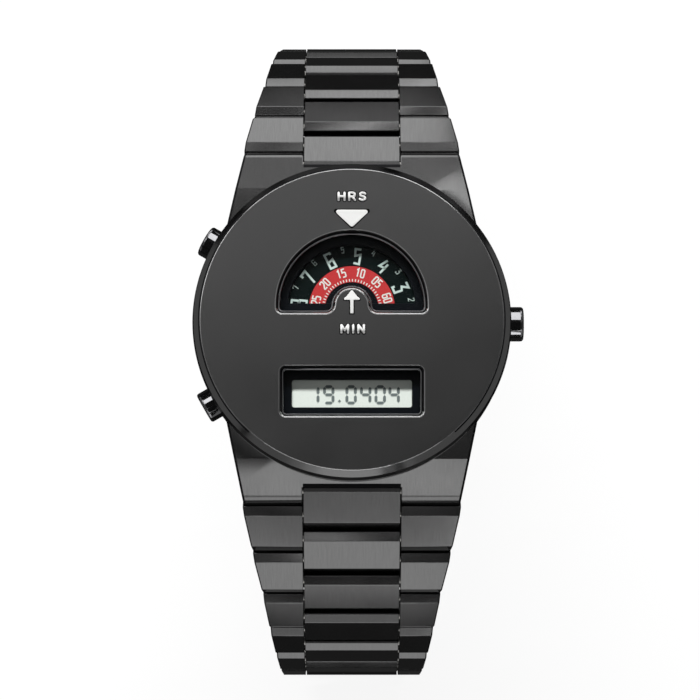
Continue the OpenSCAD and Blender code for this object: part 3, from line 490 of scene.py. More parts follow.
def front_plate():
    """The round plate: sloped rim, dial opening with its hub, display opening, glass pockets."""
    highlight_mat, shade_mat, shaded_slope_mat = 1, 2, 3
    slope_end_r = 19.75
    slope_end_z = 10.2
    outer_lip_r = 17
    seam_r = slope_end_r + (PLATE_R - slope_end_r) * (slope_end_z - ROOF_LOW) / (
        slope_end_z - PLATE_LOW)
    rim = arc((0, 0), PLATE_R - 0.01, 0, 360, 256)[:-1]
    dial = dial_outline(DIAL_R, DIAL_LOW_Y, HUB_R, 0.6, 1.0)
    display = rounded_box((0, DISPLAY_Y), DISPLAY_W, DISPLAY_H, WINDOW_CORNER)
    top = flat_form([rim, dial, display], ROOF_LOW - 1, WATCH_TOP, LIP, 4)
    seam = ROOF_LOW * MM
    bmesh.ops.delete(top, geom=flats(top), context="FACES_ONLY")
    bmesh.ops.bisect_plane(top, geom=top.verts[:] + top.edges[:] + top.faces[:], dist=1e-7,
                           plane_co=(0, 0, seam), plane_no=(0, 0, 1), clear_inner=True)
    for vert in top.verts:
        radius = vert.co.xy.length / MM
        turn = (radius - PLATE_R + LIP) / LIP
        if turn < -0.1:
            continue
        if vert.co.z < seam + 1e-6:
            vert.co.xy *= seam_r / radius
        elif turn > 0.99:
            vert.co.xy *= slope_end_r / radius
            vert.co.z = slope_end_z * MM
        else:
            vert.co.xy *= (FACE_R - 0.08 + 0.14 * turn) / radius
            vert.co.z = WATCH_TOP * MM - (WATCH_TOP * MM - vert.co.z) * 0.45
    pocket_r = DIAL_R + GLASS_REACH
    below = math.degrees(math.asin((DISC_Y - DIAL_LOW_Y + GLASS_REACH) / pocket_r))
    dial_pocket = arc((0, DISC_Y), pocket_r, -below, 180 + below, 96)
    display_pocket = rounded_box((0, DISPLAY_Y), DISPLAY_W + 2 * GLASS_REACH,
                                 DISPLAY_H + 2 * GLASS_REACH, WINDOW_CORNER)
    low = flat_form([rim, dial_pocket, display_pocket], PLATE_LOW, ROOF_LOW, 0.0)
    bmesh.ops.delete(low, geom=flats(low), context="FACES_ONLY")
    for vert in low.verts:
        if vert.co.z > seam - 1e-6 and vert.co.xy.length > 0.95 * PLATE_R * MM:
            vert.co.xy *= seam_r / (vert.co.xy.length / MM)
    lower = as_mesh(low, "front_plate_lower")
    top.from_mesh(lower)
    bpy.data.meshes.remove(lower)
    bmesh.ops.remove_doubles(top, verts=top.verts, dist=0.002 * MM)
    for height in (WATCH_TOP, ROOF_LOW, PLATE_LOW):
        filled_level(top, height)
    bmesh.ops.recalc_face_normals(top, faces=top.faces)
    mesh = as_mesh(top, "front_plate")
    piece = add_piece("front_plate_worked", mesh, "case", "satin_steel", PLATE_FINISH,
                      LIP_HIGHLIGHT, SHADE_BLACK, SLOPE_SHADED_SATIN)
    # The lips: painted highlight, a bright polish, where they face twelve o'clock and at the rim;
    # elsewhere painted shade, flat black, but for a fine bright line at the top. The steep wall
    # under the slope is painted shade too, and the slope takes the satin with painted shade
    # towards twelve o'clock.
    for face in mesh.polygons:
        face.use_smooth = True
        radius, height = face.center.xy.length / MM, face.center.z / MM
        if abs(face.normal.z) > 0.9999 or height < ROOF_LOW and radius < FACE_R:
            continue
        if radius < FACE_R + 0.07:
            lit = face.normal.y > 0.1 or radius > outer_lip_r
            face.material_index = highlight_mat if face.normal.z > (0.45 if lit else 0.85) else shade_mat
        else:
            face.material_index = shade_mat if height < slope_end_z else shaded_slope_mat
    mesh.set_sharp_from_angle(angle=math.radians(33))
    # The flat top keeps its own normal, so that no gradient runs across it
    level = [(0.0, 0.0, 0.0)] * len(mesh.loops)
    for loop in mesh.loops:
        if mesh.vertices[loop.vertex_index].co.z > WATCH_TOP * MM - 1e-6:
            level[loop.index] = (0.0, 0.0, 1.0)
    mesh.normals_split_custom_set(level)
    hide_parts("front_plate")


def plate_line():
    """A painted shade line: a fine black band round the plate at the top of its slope, left open
    at six o'clock, where the rim is lit.
    """
    bm = bmesh.new()
    corners = ((19.02, 10.95), (19.17, 10.80), (19.15, 10.76), (19.0, 10.91))
    start, sweep = math.radians(-48), math.radians(276)
    verts = [bm.verts.new((r * math.cos(start) * MM, r * math.sin(start) * MM, z * MM))
             for r, z in corners]
    bmesh.ops.spin(bm, geom=[bm.faces.new(verts)], cent=(0, 0, 0), axis=(0, 0, 1), angle=sweep,
                   steps=180)
    bmesh.ops.recalc_face_normals(bm, faces=bm.faces)
    add_piece("plate_line", as_mesh(bm, "plate_line"), "case", "black_plastic", SHADE_BLACK)


def glass_rings():
    """The slim ring that holds each glass, seen as a second line inside the openings."""
    inward, height, rounded = 0.3, 0.3, 0.1
    dial = flat_form([dial_outline(DIAL_R, DIAL_LOW_Y, HUB_R, 0.6, 1.0),
                      dial_outline(DIAL_R - inward, DIAL_LOW_Y + inward, HUB_R + inward,
                                   0.45, 0.7)], ROOF_LOW, ROOF_LOW + height, rounded)
    display = flat_form([rounded_box((0, DISPLAY_Y), DISPLAY_W, DISPLAY_H, WINDOW_CORNER),
                         rounded_box((0, DISPLAY_Y), DISPLAY_W - 2 * inward,
                                     DISPLAY_H - 2 * inward, WINDOW_CORNER - 0.2)],
                        ROOF_LOW, ROOF_LOW + height, rounded)
    for name, bm in (("dial_glass_ring", dial), ("display_glass_ring", display)):
        even_shading(add_piece(name, as_mesh(bm, name), "case", "dark_polished_steel"))


def marks():
    """The triangle over the hours and the arrow under the minutes, each in its black line."""
    def triangle(grow):
        half, high, low, corner = 2.4 + grow * 2.0, 13.75 + grow, 11.5 - grow * 1.6, 0.28
        lean = math.degrees(math.atan2(high - low, half))
        side = corner / math.tan(math.radians(lean / 2))
        points = arc((half - side, high - corner), corner, 90, -(90 - lean), 8)
        tip = corner / math.sin(math.radians(90 - lean))
        points += arc((0, low + tip), corner, -(90 - lean), -(90 + lean), 8)
        return points + arc((-(half - side), high - corner), corner, -(90 + lean), -270, 8)

    def arrow(grow):
        shaft, tail, base, head, tip = 0.21 + grow, 0.65 - grow, 2.33 - grow, 1.0, 3.55 + grow
        barb = 0.14 + grow * 0.6
        right = [(shaft, tail), (shaft, base)]
        right += arc((head - 0.14, base + barb), barb, -90, 40, 6)
        right += [(0.62 + grow, 2.86), (0.3 + grow, 3.27)]
        return right + arc((0, tip - 0.2), 0.2, 45, 135, 6) + [(-x, y) for x, y in right[::-1]]

    for name, outline, node in (("hour_triangle", triangle, "hour_mark"),
                                ("minute_arrow", arrow, "minute_mark")):
        line = flat_form([outline(0.13)], WATCH_TOP - 0.02, WATCH_TOP + 0.015, 0.0)
        add_piece(name + "_line", as_mesh(line, name), "case", "black_plastic", OUTLINE_BLACK)
        mark = flat_form([outline(0.0)], WATCH_TOP, WATCH_TOP + 0.12, 0.05)
        piece = add_piece(name, as_mesh(mark, name), "case", "mark_white")
        even_shading(piece)
        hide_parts(node)


def rounded_strokes(lines, width, low, high):
    """Raised letters made of strokes with round ends, as a bmesh."""
    bm = bmesh.new()
    for line in lines:
        for x, y in line:
            bmesh.ops.create_uvsphere(bm, u_segments=16, v_segments=8, radius=width / 2 * MM,
                                      matrix=Matrix.Translation((x * MM, y * MM, 0)))
        for (x0, y0), (x1, y1) in zip(line, line[1:]):
            length = math.hypot(x1 - x0, y1 - y0)
            turn = Matrix.Rotation(math.atan2(y1 - y0, x1 - x0), 4, "Z") @ \
                Matrix.Rotation(math.radians(90), 4, "Y")
            place = Matrix.Translation(((x0 + x1) / 2 * MM, (y0 + y1) / 2 * MM, 0)) @ turn
            bmesh.ops.create_cone(bm, cap_ends=True, segments=16, radius1=width / 2 * MM,
                                  radius2=width / 2 * MM, depth=length * MM, matrix=place)
    bmesh.ops.scale(bm, verts=bm.verts, vec=(1, 1, (high - low) / (width / 2)))
    bmesh.ops.translate(bm, verts=bm.verts, vec=(0, 0, low * MM))
    return bm


# Letters as strokes, one high
LETTERS = {
    "H": [[(0, 0), (0, 1)], [(0.8, 0), (0.8, 1)], [(0, 0.5), (0.8, 0.5)]],
    "R": [[(0, 0), (0, 1), (0.5, 1), (0.72, 0.9), (0.76, 0.72), (0.7, 0.55), (0.5, 0.46),
           (0, 0.46)], [(0.45, 0.46), (0.78, 0)]],
    "S": [[(0.74, 0.86), (0.58, 0.98), (0.3, 1), (0.08, 0.88), (0.08, 0.66), (0.3, 0.54),
           (0.55, 0.48), (0.74, 0.34), (0.74, 0.14), (0.5, 0), (0.22, 0.01), (0.02, 0.14)]],
    "M": [[(0, 0), (0, 1), (0.45, 0.3), (0.9, 1), (0.9, 0)]],
    "I": [[(0, 0), (0, 1)]],
    "N": [[(0, 0), (0, 1), (0.75, 0), (0.75, 1)]],
}


def plate_words():
    """The words over the hours and under the minutes, raised and round-edged."""
    stroke, black_edge, tall = 0.31, 0.12, 0.92
    for name, word, left, low_y, width in (("hours_word", "HRS", -1.65, 15.0, 3.3),
                                           ("minutes_word", "MIN", -1.3, -1.75, 2.8)):
        spans = [max(x for line in LETTERS[letter] for x, y in line) for letter in word]
        gap = (width - sum(span * tall for span in spans)) / (len(word) - 1)
        lines, x_start = [], left
        for letter, span in zip(word, spans):
            lines += [[(x_start + x * tall, low_y + y * tall) for x, y in line]
                      for line in LETTERS[letter]]
            x_start += span * tall + gap
        around = rounded_strokes(lines, stroke + 2 * black_edge, WATCH_TOP, WATCH_TOP + 0.012)
        add_piece(name + "_line", as_mesh(around, name), "case", "black_plastic", OUTLINE_BLACK)
        word_piece = add_piece(name, as_mesh(rounded_strokes(lines, stroke, WATCH_TOP,
                                                             WATCH_TOP + 0.12), name),
                               "case", "mark_white")
        for face in word_piece.data.polygons:
            face.use_smooth = True


# Figures as strokes in a box one wide and two high
ANGULAR = {
    "0": [[(0, 0), (0.1, 2), (1, 2), (0.9, 0), (0, 0)]],
    "1": [[(0.25, 1.6), (0.6, 2), (0.55, 0)]],
    "2": [[(0.05, 1.7), (0.15, 2), (1, 2), (0.95, 1.3), (0, 0), (1, 0)]],
    "3": [[(0.05, 2), (1, 2), (0.45, 1.2), (1, 1.0), (0.9, 0), (0, 0), (0, 0.35)]],
    "4": [[(0.55, 2), (0, 0.8), (1.05, 0.95)], [(0.95, 1.6), (0.7, 0)]],
    "5": [[(1, 2), (0.1, 2), (0.15, 1.1), (0.95, 1.3), (0.85, 0), (0, 0.1)]],
    "6": [[(0.9, 1.75), (0.85, 2), (0, 2), (0.1, 0), (1, 0), (0.9, 1.1), (0.1, 0.8)]],
    "7": [[(0, 1.6), (0, 2), (1, 2), (0.45, 0)]],
    "8": [[(0.1, 1.1), (0.1, 2), (0.9, 2), (0.9, 1.1), (0, 0.9), (0, 0), (1, 0), (1, 0.9),
           (0.1, 1.1)]],
    "9": [[(0.15, 0), (1, 0), (0.9, 2), (0, 2), (0, 1), (0.9, 1.1)]],
}
SQUARE = {
    "0": [[(0.2, 0), (0, 0.2), (0, 1.8), (0.2, 2), (0.8, 2), (1, 1.8), (1, 0.2), (0.8, 0),
           (0.2, 0)]],
    "1": [[(0.1, 1.65), (0.55, 2), (0.55, 0)]],
    "2": [[(0, 1.6), (0, 1.85), (0.15, 2), (0.85, 2), (1, 1.85), (1, 1.2), (0, 0.2), (0, 0),
           (1, 0)]],
    "3": [[(0, 2), (1, 2), (1, 0), (0, 0)], [(0.2, 1.05), (1, 1.05)]],
    "4": [[(0.1, 2), (0, 0.7), (1, 0.7)], [(0.8, 1.4), (0.8, 0)]],
    "5": [[(1, 2), (0.05, 2), (0.05, 1.15), (0.8, 1.15), (1, 0.95), (1, 0.2), (0.8, 0),
           (0, 0)]],
    "6": [[(1, 2), (0.2, 2), (0, 1.8), (0, 0.2), (0.2, 0), (0.8, 0), (1, 0.2), (1, 1.1),
           (0.05, 1.1)]],
}


def figure_lines(font, text, angle, radius, high, wide, gap):
    """The strokes of a number that stands on a disc at that angle, its top outwards."""
    total = len(text) * wide + (len(text) - 1) * gap
    turn = math.radians(angle - 90)
    lines = []
    for place, figure in enumerate(text):
        for stroke in font[figure]:
            line = []
            for x, y in stroke:
                across = -total / 2 + place * (wide + gap) + x * wide
                out = radius + (y / 2 - 0.5) * high
                line.append((across * math.cos(turn) - out * math.sin(turn),
                             DISC_Y + across * math.sin(turn) + out * math.cos(turn)))
            lines.append(line)
    return lines


def ink(name, lines, width, low, high, body, slot, finish):
    """Flat printed strokes that width, standing a little proud of what carries them."""
    bm = bmesh.new()
    for line in lines:
        closed = line[0] == line[-1]
        verts = [bm.verts.new((x * MM, y * MM, low * MM)) for x, y in
                 (line[:-1] if closed else line)]
        for pair in zip(verts, verts[1:] + verts[:1] if closed else verts[1:]):
            bm.edges.new(pair)
    raised = bmesh.ops.extrude_edge_only(bm, edges=bm.edges)
    top = [item for item in raised["geom"] if isinstance(item, bmesh.types.BMVert)]
    bmesh.ops.translate(bm, verts=top, vec=(0, 0, (high - low) * MM))
    piece = add_piece(name, as_mesh(bm, name), body, slot, finish)
    wall = piece.modifiers.new("stroke", "SOLIDIFY")
    wall.thickness = width * MM
    wall.offset = 0
    wall.use_even_offset = True


def dial_figures():
    """The hour and half-hour figures, the minute figures and the minute lines, at twelve
    past five."""
    ink_h = 0.02
    # The hour five and the arrow, in degrees from three o'clock, and the minute at the arrow
    five, twelve, shown_minute = 84, 90, 12.2
    hours, halves, minutes, lines = [], [], [], []
    for hour in range(1, 13):
        angle = five + 30 * (hour - 5)
        wide, gap = (0.82, 0) if hour < 10 else (0.62, 0.3)
        hours += figure_lines(ANGULAR, str(hour), angle, 6.68, 1.88, wide, gap)
        halves += figure_lines(ANGULAR, str(hour), angle + 15, 7.55, 0.72, 0.36, 0.16)
    for minute in range(0, 60, 5):
        text = "60" if minute == 0 else f"{minute:02d}"
        minutes += figure_lines(SQUARE, text, twelve + 6 * (minute - shown_minute), 4.62, 1.0,
                                0.4, 0.22)
    for minute in range(60):
        angle = math.radians(twelve + 6 * (minute - shown_minute))
        lines.append([(r * math.cos(angle), DISC_Y + r * math.sin(angle))
                      for r in (3.44, 3.76)])
    ink("hour_figures", hours, 0.27, HOUR_DISC_TOP, HOUR_DISC_TOP + ink_h, "hour_disc",
        "hour_disc_black", NUMERAL_PALE)
    ink("half_hour_figures", halves, 0.09, HOUR_DISC_TOP, HOUR_DISC_TOP + ink_h, "hour_disc",
        "hour_disc_black", NUMERAL_PALE)
    ink("minute_figures", minutes, 0.17, MINUTE_DISC_TOP, MINUTE_DISC_TOP + ink_h,
        "minute_disc", "minute_disc_red", NUMERAL_WHITE)
    ink("minute_lines", lines, 0.13, MINUTE_DISC_TOP, MINUTE_DISC_TOP + ink_h,
        "minute_disc", "minute_disc_red", NUMERAL_WHITE)
    centre = flat_form([arc((0, DISC_Y), 3.36, 0, 360, 96)[:-1]], MINUTE_DISC_TOP,
                       MINUTE_DISC_TOP + 0.03, 0.0)
    add_piece("minute_disc_centre", as_mesh(centre, "minute_disc_centre"), "minute_disc",
              "minute_disc_red", FINISH["black_plastic"])


# Which of a figure's bars are dark: top, upper left, upper right, middle, lower left,
# lower right, bottom
BARS = {"1": "0010010", "9": "1111011", "0": "1110111", "4": "0111010"}


def display_segments():
    """The figures of the crystal display, with the soft shadow that they cast on its back."""
    half_w, half_h, thick, gap = 0.53, 1.03, 0.36, 0.05
    middle_y = DISPLAY_Y - 0.1

    def bar(x0, y0, x1, y1):
        along = Vector((x1 - x0, y1 - y0))
        side = Vector((-along.y, along.x)).normalized() * thick / 2
        step = along.normalized()
        start, end = Vector((x0, y0)) + step * gap, Vector((x1, y1)) - step * gap
        reach = thick / 2
        return [start, start + step * reach - side, end - step * reach - side, end,
                end - step * reach + side, start + step * reach + side]

    def figures(shift_x, shift_y, low, high):
        bm = bmesh.new()
        for figure, x in zip("190404", (-4.76, -2.89, -0.09, 1.73, 3.55, 5.29)):
            left, right = x - half_w, x + half_w
            places = [(left, half_h, right, half_h), (left, 0, left, half_h),
                      (right, 0, right, half_h), (left, 0, right, 0),
                      (left, -half_h, left, 0), (right, -half_h, right, 0),
                      (left, -half_h, right, -half_h)]
            for place, dark in zip(places, BARS[figure]):
                if dark == "1":
                    bm.faces.new([bm.verts.new(((px + shift_x) * MM,
                                                (py + middle_y + shift_y) * MM,
                                                low * MM)) for px, py in bar(*place)])
        dot = bmesh.ops.create_circle(bm, cap_ends=True, segments=4, radius=0.2 * MM)
        bmesh.ops.translate(bm, verts=dot["verts"],
                            vec=((-1.55 + shift_x) * MM, (middle_y - 0.8 + shift_y) * MM,
                                 low * MM))
        raised = bmesh.ops.extrude_face_region(bm, geom=list(bm.faces))
        top = [item for item in raised["geom"] if isinstance(item, bmesh.types.BMVert)]
        bmesh.ops.translate(bm, verts=top, vec=(0, 0, (high - low) * MM))
        bmesh.ops.recalc_face_normals(bm, faces=bm.faces)
        return bm

    add_piece("display_figures", as_mesh(figures(0, 0, PANEL_TOP + 0.01, PANEL_TOP + 0.025),
                                         "display_figures"), "case", "display_grey", SEGMENT_INK)
    add_piece("display_figure_shadows",
              as_mesh(figures(-0.03, -0.1, PANEL_TOP, PANEL_TOP + 0.01), "display_shadows"),
              "case", "display_grey", SEGMENT_SHADOW)


def turned(name, profile, angle, height, body, slot, node):
    """A turned part in place of a node. The profile runs from axis to axis, as distances
    along the axis and from it; the axis points out from the watch's middle at that angle."""
    bm = bmesh.new()
    verts = [bm.verts.new((along * MM, radius * MM, 0)) for along, radius in profile]
    edges = [bm.edges.new(pair) for pair in zip(verts, verts[1:])]
    bmesh.ops.spin(bm, geom=verts + edges, cent=(0, 0, 0), axis=(1, 0, 0), angle=2 * math.pi,
                   steps=72, use_merge=True)
    bmesh.ops.remove_doubles(bm, verts=bm.verts, dist=0.002 * MM)
    bmesh.ops.rotate(bm, verts=bm.verts, matrix=Matrix.Rotation(math.radians(angle), 3, "Z"))
    bmesh.ops.translate(bm, verts=bm.verts, vec=(0, 0, height * MM))
    bmesh.ops.recalc_face_normals(bm, faces=bm.faces)
    piece = add_piece(name, as_mesh(bm, name), body, slot)
    even_shading(piece)
    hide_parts(node)


def corner_arc(end, radius, rounded):
    """The rounded outer corner of a turned profile that ends at that distance."""
    return [(end - rounded + x, radius - rounded + y)
            for x, y in arc((0, 0), rounded, 0, 90, 6)] + [(end - rounded - 0.03, radius)]


def crown_and_pushers():
    """The crown at three o'clock with its hollow end, and the pushers with their stems."""
    end, radius = 21.6, 2.175
    turned("winding_crown", [(end, 0), *corner_arc(end, radius, 0.38), (19.09, radius),
                             (19.06, radius), (19.0, radius - 0.06), (19.0, 1.02), (19.7, 1.02),
                             (19.7, 0.56), (21.0, 0.56), (21.0, 0)], 0, BUTTON_Z, "crown",
           "dark_polished_steel", "crown")
    end, radius = 21.45, 2.0
    for pusher, angle in (("upper_pusher", 150), ("lower_pusher", 210)):
        turned(pusher + "_cap", [(end, 0), *corner_arc(end, radius, 0.32), (19.84, radius),
                                 (19.81, radius), (19.75, radius - 0.06), (19.75, 1.5),
                                 (20.45, 1.5), (20.45, 0.5), (16.25, 0.5), (16.25, 0.35),
                                 (16.05, 0.35), (16.05, 0.5), (15.47, 0.5), (15.45, 0.48),
                                 (15.45, 0)], angle, BUTTON_Z, pusher, "dark_polished_steel",
               pusher)


front_plate()
plate_line()
glass_rings()
marks()
plate_words()
dial_figures()
display_segments()
crown_and_pushers()
# The case's side chamfers and the strip between its lugs get painted shade.
worked_solid("case_middle", "case", "satin_steel", 0.1, chamfer=0.28, painted_shade_at=between_lugs,
             crease=11)
worked_solid("case_back", "case", "satin_steel", 0.08)
worked_solid("dial_mask", "case", "black_plastic", 0.1)
for side, count in (("upper", 10), ("lower", 9)):
    for number in range(1, count + 1):
        link = f"{side}_link_{number}"
        # The links' side chamfers get painted shade.
        worked_solid(link, link, "satin_steel", 0.07, pin_finish=FINISH["bright_steel"],
                     chamfer=0.18)
for node, broken in (("clasp_tongue", 0.07), ("clasp_cover", 0.1), ("left_clasp_button", 0.07),
                     ("right_clasp_button", 0.07)):
    worked_solid(node, node, "satin_steel", broken)


# Every node of the part in its own finish
for part in frame["record"]["subparts"]:
    mesh = NODES[part["node"]].data
    mesh.materials.clear()
    mesh.materials.append(FINISH[part["material_slot"]])


# The floor lies just under the clasp
FLOOR_Z = cad_box[0].z - 0.4 * MM


def background_rays(tree):
    """One where the camera, a reflection or a ray through glass looks, nothing elsewhere."""
    path = tree.nodes.new("ShaderNodeLightPath")
    found = path.outputs["Is Camera Ray"]
    for kind in ("Is Glossy Ray", "Is Transmission Ray"):
        either = tree.nodes.new("ShaderNodeMath")
        either.operation = "MAXIMUM"
        tree.links.new(found, either.inputs[0])
        tree.links.new(path.outputs[kind], either.inputs[1])
        found = either.outputs["Value"]
    return found


def studio_floor():
    """The wide pale floor. It keeps the watch's shadow, and stays near white to the camera."""
    bm = bmesh.new()
    bmesh.ops.create_grid(bm, x_segments=2, y_segments=2, size=3.0)
    bmesh.ops.translate(bm, verts=bm.verts, vec=(0, 0, FLOOR_Z))
    material, tree, shader = fresh_material("white_floor")
    shader.inputs["Base Color"].default_value = (0.9, 0.9, 0.9, 1)
    shader.inputs["Roughness"].default_value = 0.9
    share = tree.nodes.new("ShaderNodeMath")
    share.operation = "MULTIPLY"
    share.inputs[1].default_value = 0.9
    tree.links.new(background_rays(tree), share.inputs[0])
    white = tree.nodes.new("ShaderNodeEmission")
    white.inputs["Strength"].default_value = 1.0
    mix = tree.nodes.new("ShaderNodeMixShader")
    out = node_of(tree, "OUTPUT_MATERIAL")
    tree.links.new(share.outputs["Value"], mix.inputs["Fac"])
    tree.links.new(shader.outputs["BSDF"], mix.inputs[1])
    tree.links.new(white.outputs["Emission"], mix.inputs[2])
    tree.links.new(mix.outputs["Shader"], out.inputs["Surface"])
    floor = bpy.data.objects.new("floor", as_mesh(bm, "floor"))
    bpy.context.scene.collection.objects.link(floor)
    floor.data.materials.append(material)


def glow(name, radiance):
    """Plain white light of that strength."""
    material, tree = bare_material(name)
    light = tree.nodes.new("ShaderNodeEmission")
    light.inputs["Color"].default_value = (1, 1, 1, 1)
    light.inputs["Strength"].default_value = radiance
    out = tree.nodes.new("ShaderNodeOutputMaterial")
    tree.links.new(light.outputs["Emission"], out.inputs["Surface"])
    return material


def add_card(name, bm, light):
    """A card of the studio that only reflections show."""
    card = bpy.data.objects.new(name, as_mesh(bm, name))
    bpy.context.scene.collection.objects.link(card)
    card.data.materials.append(light)
    card.visible_camera = False
    card.visible_diffuse = False
    card.visible_shadow = False
    card.visible_transmission = False


def studio_card(name, radiance, reach, azimuth, half_angle, low, high, rows=12, columns=24):
    """A curved card around the watch that only gloss sees. Azimuth is from +Y, clockwise from
    above; low and high are degrees from straight up."""
    bm = bmesh.new()
    bmesh.ops.create_grid(bm, x_segments=columns, y_segments=rows, size=0.5)
    for vert in bm.verts:
        around = math.radians(azimuth + vert.co.x * 2 * half_angle)
        down = math.radians((low + high) / 2 + vert.co.y * (high - low))
        vert.co = Vector((math.sin(down) * math.sin(around), math.sin(down) * math.cos(around),
                          math.cos(down))) * reach
    add_card(name, bm, glow(name, radiance))


def button_card(name, radiance, angle, reach, lean, away, low, high, wide):
    """A slim curved card around a button's axis, which points out at that angle. Low and high
    are degrees from straight up, across the axis; lean moves the card along it."""
    axis = Vector((math.cos(math.radians(angle)), math.sin(math.radians(angle)), 0))
    across = Vector((abs(axis.y), abs(axis.x), 0))
    across.x *= -1 if axis.x * axis.y > 0 else 1
    middle = axis * (reach * MM + away * math.tan(math.radians(lean)))
    middle.z = BUTTON_Z * MM
    bm = bmesh.new()
    bmesh.ops.create_grid(bm, x_segments=2, y_segments=40, size=0.5)
    for vert in bm.verts:
        turn = math.radians((low + high) / 2 + vert.co.y * (high - low))
        vert.co = (middle + axis * vert.co.x * wide * MM
                   + (across * math.sin(turn) + Vector((0, 0, math.cos(turn)))) * away)
    add_card(name, bm, glow(name, radiance))


def level_card(name, light, wide, deep, middle_y, height):
    """A level rectangle over the watch."""
    bm = bmesh.new()
    bmesh.ops.create_grid(bm, x_segments=2, y_segments=2, size=0.5)
    for vert in bm.verts:
        vert.co = Vector((vert.co.x * wide, middle_y + vert.co.y * deep, height))
    add_card(name, bm, light)


def ramped_glow(name, low, high, stops):
    """Light whose strength follows Y between low and high, and falls off a little towards +X."""
    material = glow(name, 1.0)
    tree = material.node_tree
    light = node_of(tree, "EMISSION")
    place = tree.nodes.new("ShaderNodeTexCoord")
    split = tree.nodes.new("ShaderNodeSeparateXYZ")
    tree.links.new(place.outputs["Object"], split.inputs["Vector"])
    ramp = tree.nodes.new("ShaderNodeValToRGB")
    for number, (at, value) in enumerate(stops):
        where = (at - low) / (high - low)
        stop = (ramp.color_ramp.elements[number] if number < 2
                else ramp.color_ramp.elements.new(where))
        stop.position = where
        stop.color = (value, value, value, 1)
    tree.links.new(spread(tree, split.outputs["Y"], 0.0, 1.0, low, high), ramp.inputs["Fac"])
    tree.links.new(ramp.outputs["Color"], light.inputs["Color"])
    tree.links.new(spread(tree, split.outputs["X"], 1.8, 0.2, -0.1, 0.1),
                   light.inputs["Strength"])
    return material


# The sheet over the watch is brighter towards twelve o'clock: Y in metres, and the light there
SHEET_LOW, SHEET_HIGH = -0.1, 0.065
SHEET_STOPS = ((SHEET_LOW, 0.03), (SHEET_HIGH, 0.1), (-0.06, 0.12), (-0.052, 0.1), (-0.044, 0.12),
               (-0.036, 0.12), (-0.02, 0.09), (0.0, 0.12), (0.015, 0.24), (0.035, 0.56),
               (0.046, 0.56), (0.056, 0.2))
# Curved cards: name, light, distance in metres, azimuth and half the width in degrees, and
# their two edges in degrees from straight up
CURVED_CARDS = (
    ("front_gap", 0.03, 0.6, 180, 60, 14, 66),
    ("back_gap", 0.12, 0.6, 0, 62, 20, 75),
    ("left_gap", 0.03, 0.6, -92, 28, 16, 78),
    ("right_gap", 0.03, 0.6, 92, 28, 16, 78),
    ("left_horizon", 0.26, 0.3, -107, 53, 79, 101),
    ("right_horizon", 0.26, 0.3, 107, 53, 79, 101),
    ("back_strip_high", 1.5, 0.15, -20, 55, 47, 58),
    ("back_strip_middle", 0.42, 0.15, 0, 40, 58, 73),
    ("back_strip_low", 1.4, 0.15, 0, 38, 73, 92),
    ("back_strip_under", 0.3, 0.15, 0, 22, 92, 98),
    ("front_strip_high", 1.2, 0.15, 180, 40, 47.5, 57),
    ("front_strip_middle", 0.38, 0.15, 180, 40, 57, 69),
    ("front_strip_low", 0.97, 0.15, 180, 14, 69, 99.2),
    ("front_strip_wide", 0.65, 0.151, 180, 20, 69, 99.2),
    ("front_strip_wider", 0.4, 0.152, 180, 26, 69, 99.2),
    ("front_strip_widest", 0.25, 0.153, 180, 33, 69, 99.2))
# Each button's name, angle, reach, lean and lit stretches round its axis
BUTTON_LIGHTS = (
    ("crown", 0, 20.3, 3.0, ((22, 78), (-80, -49))),
    ("upper_pusher", 150, 20.6, 7.0, ((22, 67),)),
    ("lower_pusher", 210, 20.6, -1.1, ((20, 48),)))


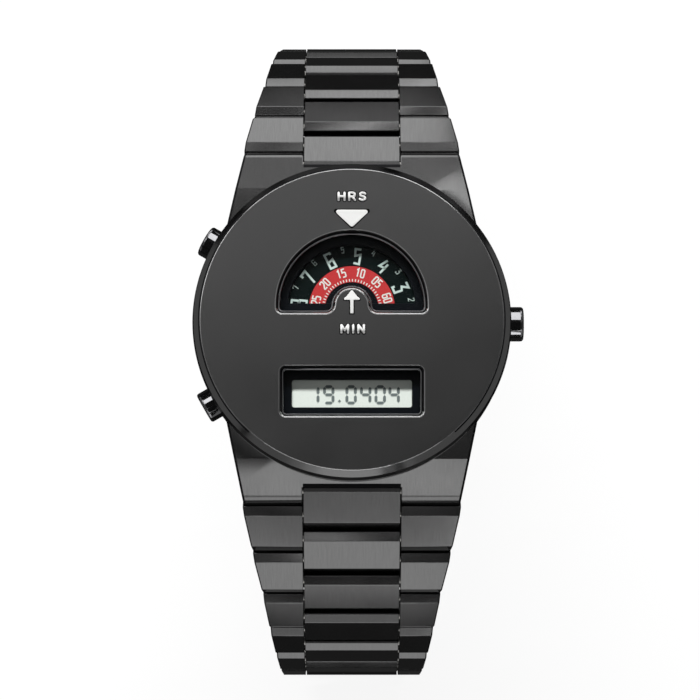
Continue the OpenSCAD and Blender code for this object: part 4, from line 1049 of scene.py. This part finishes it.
def studio():
    """All the cards that the metal mirrors, the one lamp, and the air around them."""
    studio_card("overhead_shell", 0.2, 2.0, 0, 180, 0, 91, 24, 96)
    studio_card("under_shell", 0.03, 0.9, 0, 180, 91, 93, 2, 96)
    for card in CURVED_CARDS:
        studio_card(*card)
    for name, angle, reach, lean, lit in BUTTON_LIGHTS:
        button_card(name + "_dark", 0.01, angle, reach, lean, 0.101, -110, 110, 7)
        for number, (low, high) in enumerate(lit):
            button_card(f"{name}_light_{number}", 2.5, angle, reach, lean, 0.1, low, high, 5)
    level_card("small_card", glow("small_card", 1.5), 0.016, 0.014, -0.049, 0.1295)
    level_card("overhead_card", ramped_glow("overhead_card", SHEET_LOW, SHEET_HIGH, SHEET_STOPS),
               0.34, SHEET_HIGH - SHEET_LOW, -0.018, 0.13)
    bm = bmesh.new()
    bmesh.ops.create_circle(bm, cap_ends=True, segments=96, radius=0.95)
    bmesh.ops.translate(bm, verts=bm.verts, vec=(0, 0, FLOOR_Z + 0.2 * MM))
    add_card("floor_card", bm, glow("floor_card", 0.03))
    key = bpy.data.lights.new("key", "AREA")
    key.shape = "RECTANGLE"
    key.size = 0.7
    key.size_y = 0.04
    key.energy = 17.0
    lamp = bpy.data.objects.new("key", key)
    lamp.location = (-0.1, 0.67, 0.74)
    lamp.rotation_euler = (-lamp.location).to_track_quat("-Z", "Y").to_euler()
    lamp.visible_glossy = False
    lamp.visible_camera = False
    bpy.context.scene.collection.objects.link(lamp)
    world = bpy.data.worlds.new("studio_air")
    bpy.context.scene.world = world
    world.use_nodes = True
    tree = world.node_tree
    backdrop = node_of(tree, "BACKGROUND")
    backdrop.inputs["Color"].default_value = (1, 1, 1, 1)
    tree.links.new(spread(tree, background_rays(tree), 0.22, 1.0, 0.0, 1.0),
                   backdrop.inputs["Strength"])


def camera():
    """The photograph's view: nearly straight down, a little from the six o'clock side."""
    target = Vector((-0.235, -3.61, 8.5)) * MM
    distance = 387.4 * MM
    lean = math.radians(7.731)
    data = bpy.data.cameras.new("camera")
    data.sensor_width = 36
    data.lens = 159.2
    data.clip_start = 0.01
    data.clip_end = 20
    eye = bpy.data.objects.new("camera", data)
    eye.location = target + distance * Vector((0, -math.sin(lean), math.cos(lean)))
    eye.rotation_euler = (lean, 0, 0)
    bpy.context.scene.collection.objects.link(eye)
    bpy.context.scene.camera = eye


studio_floor()
studio()
camera()
bpy.context.scene.view_settings.view_transform = "Standard"
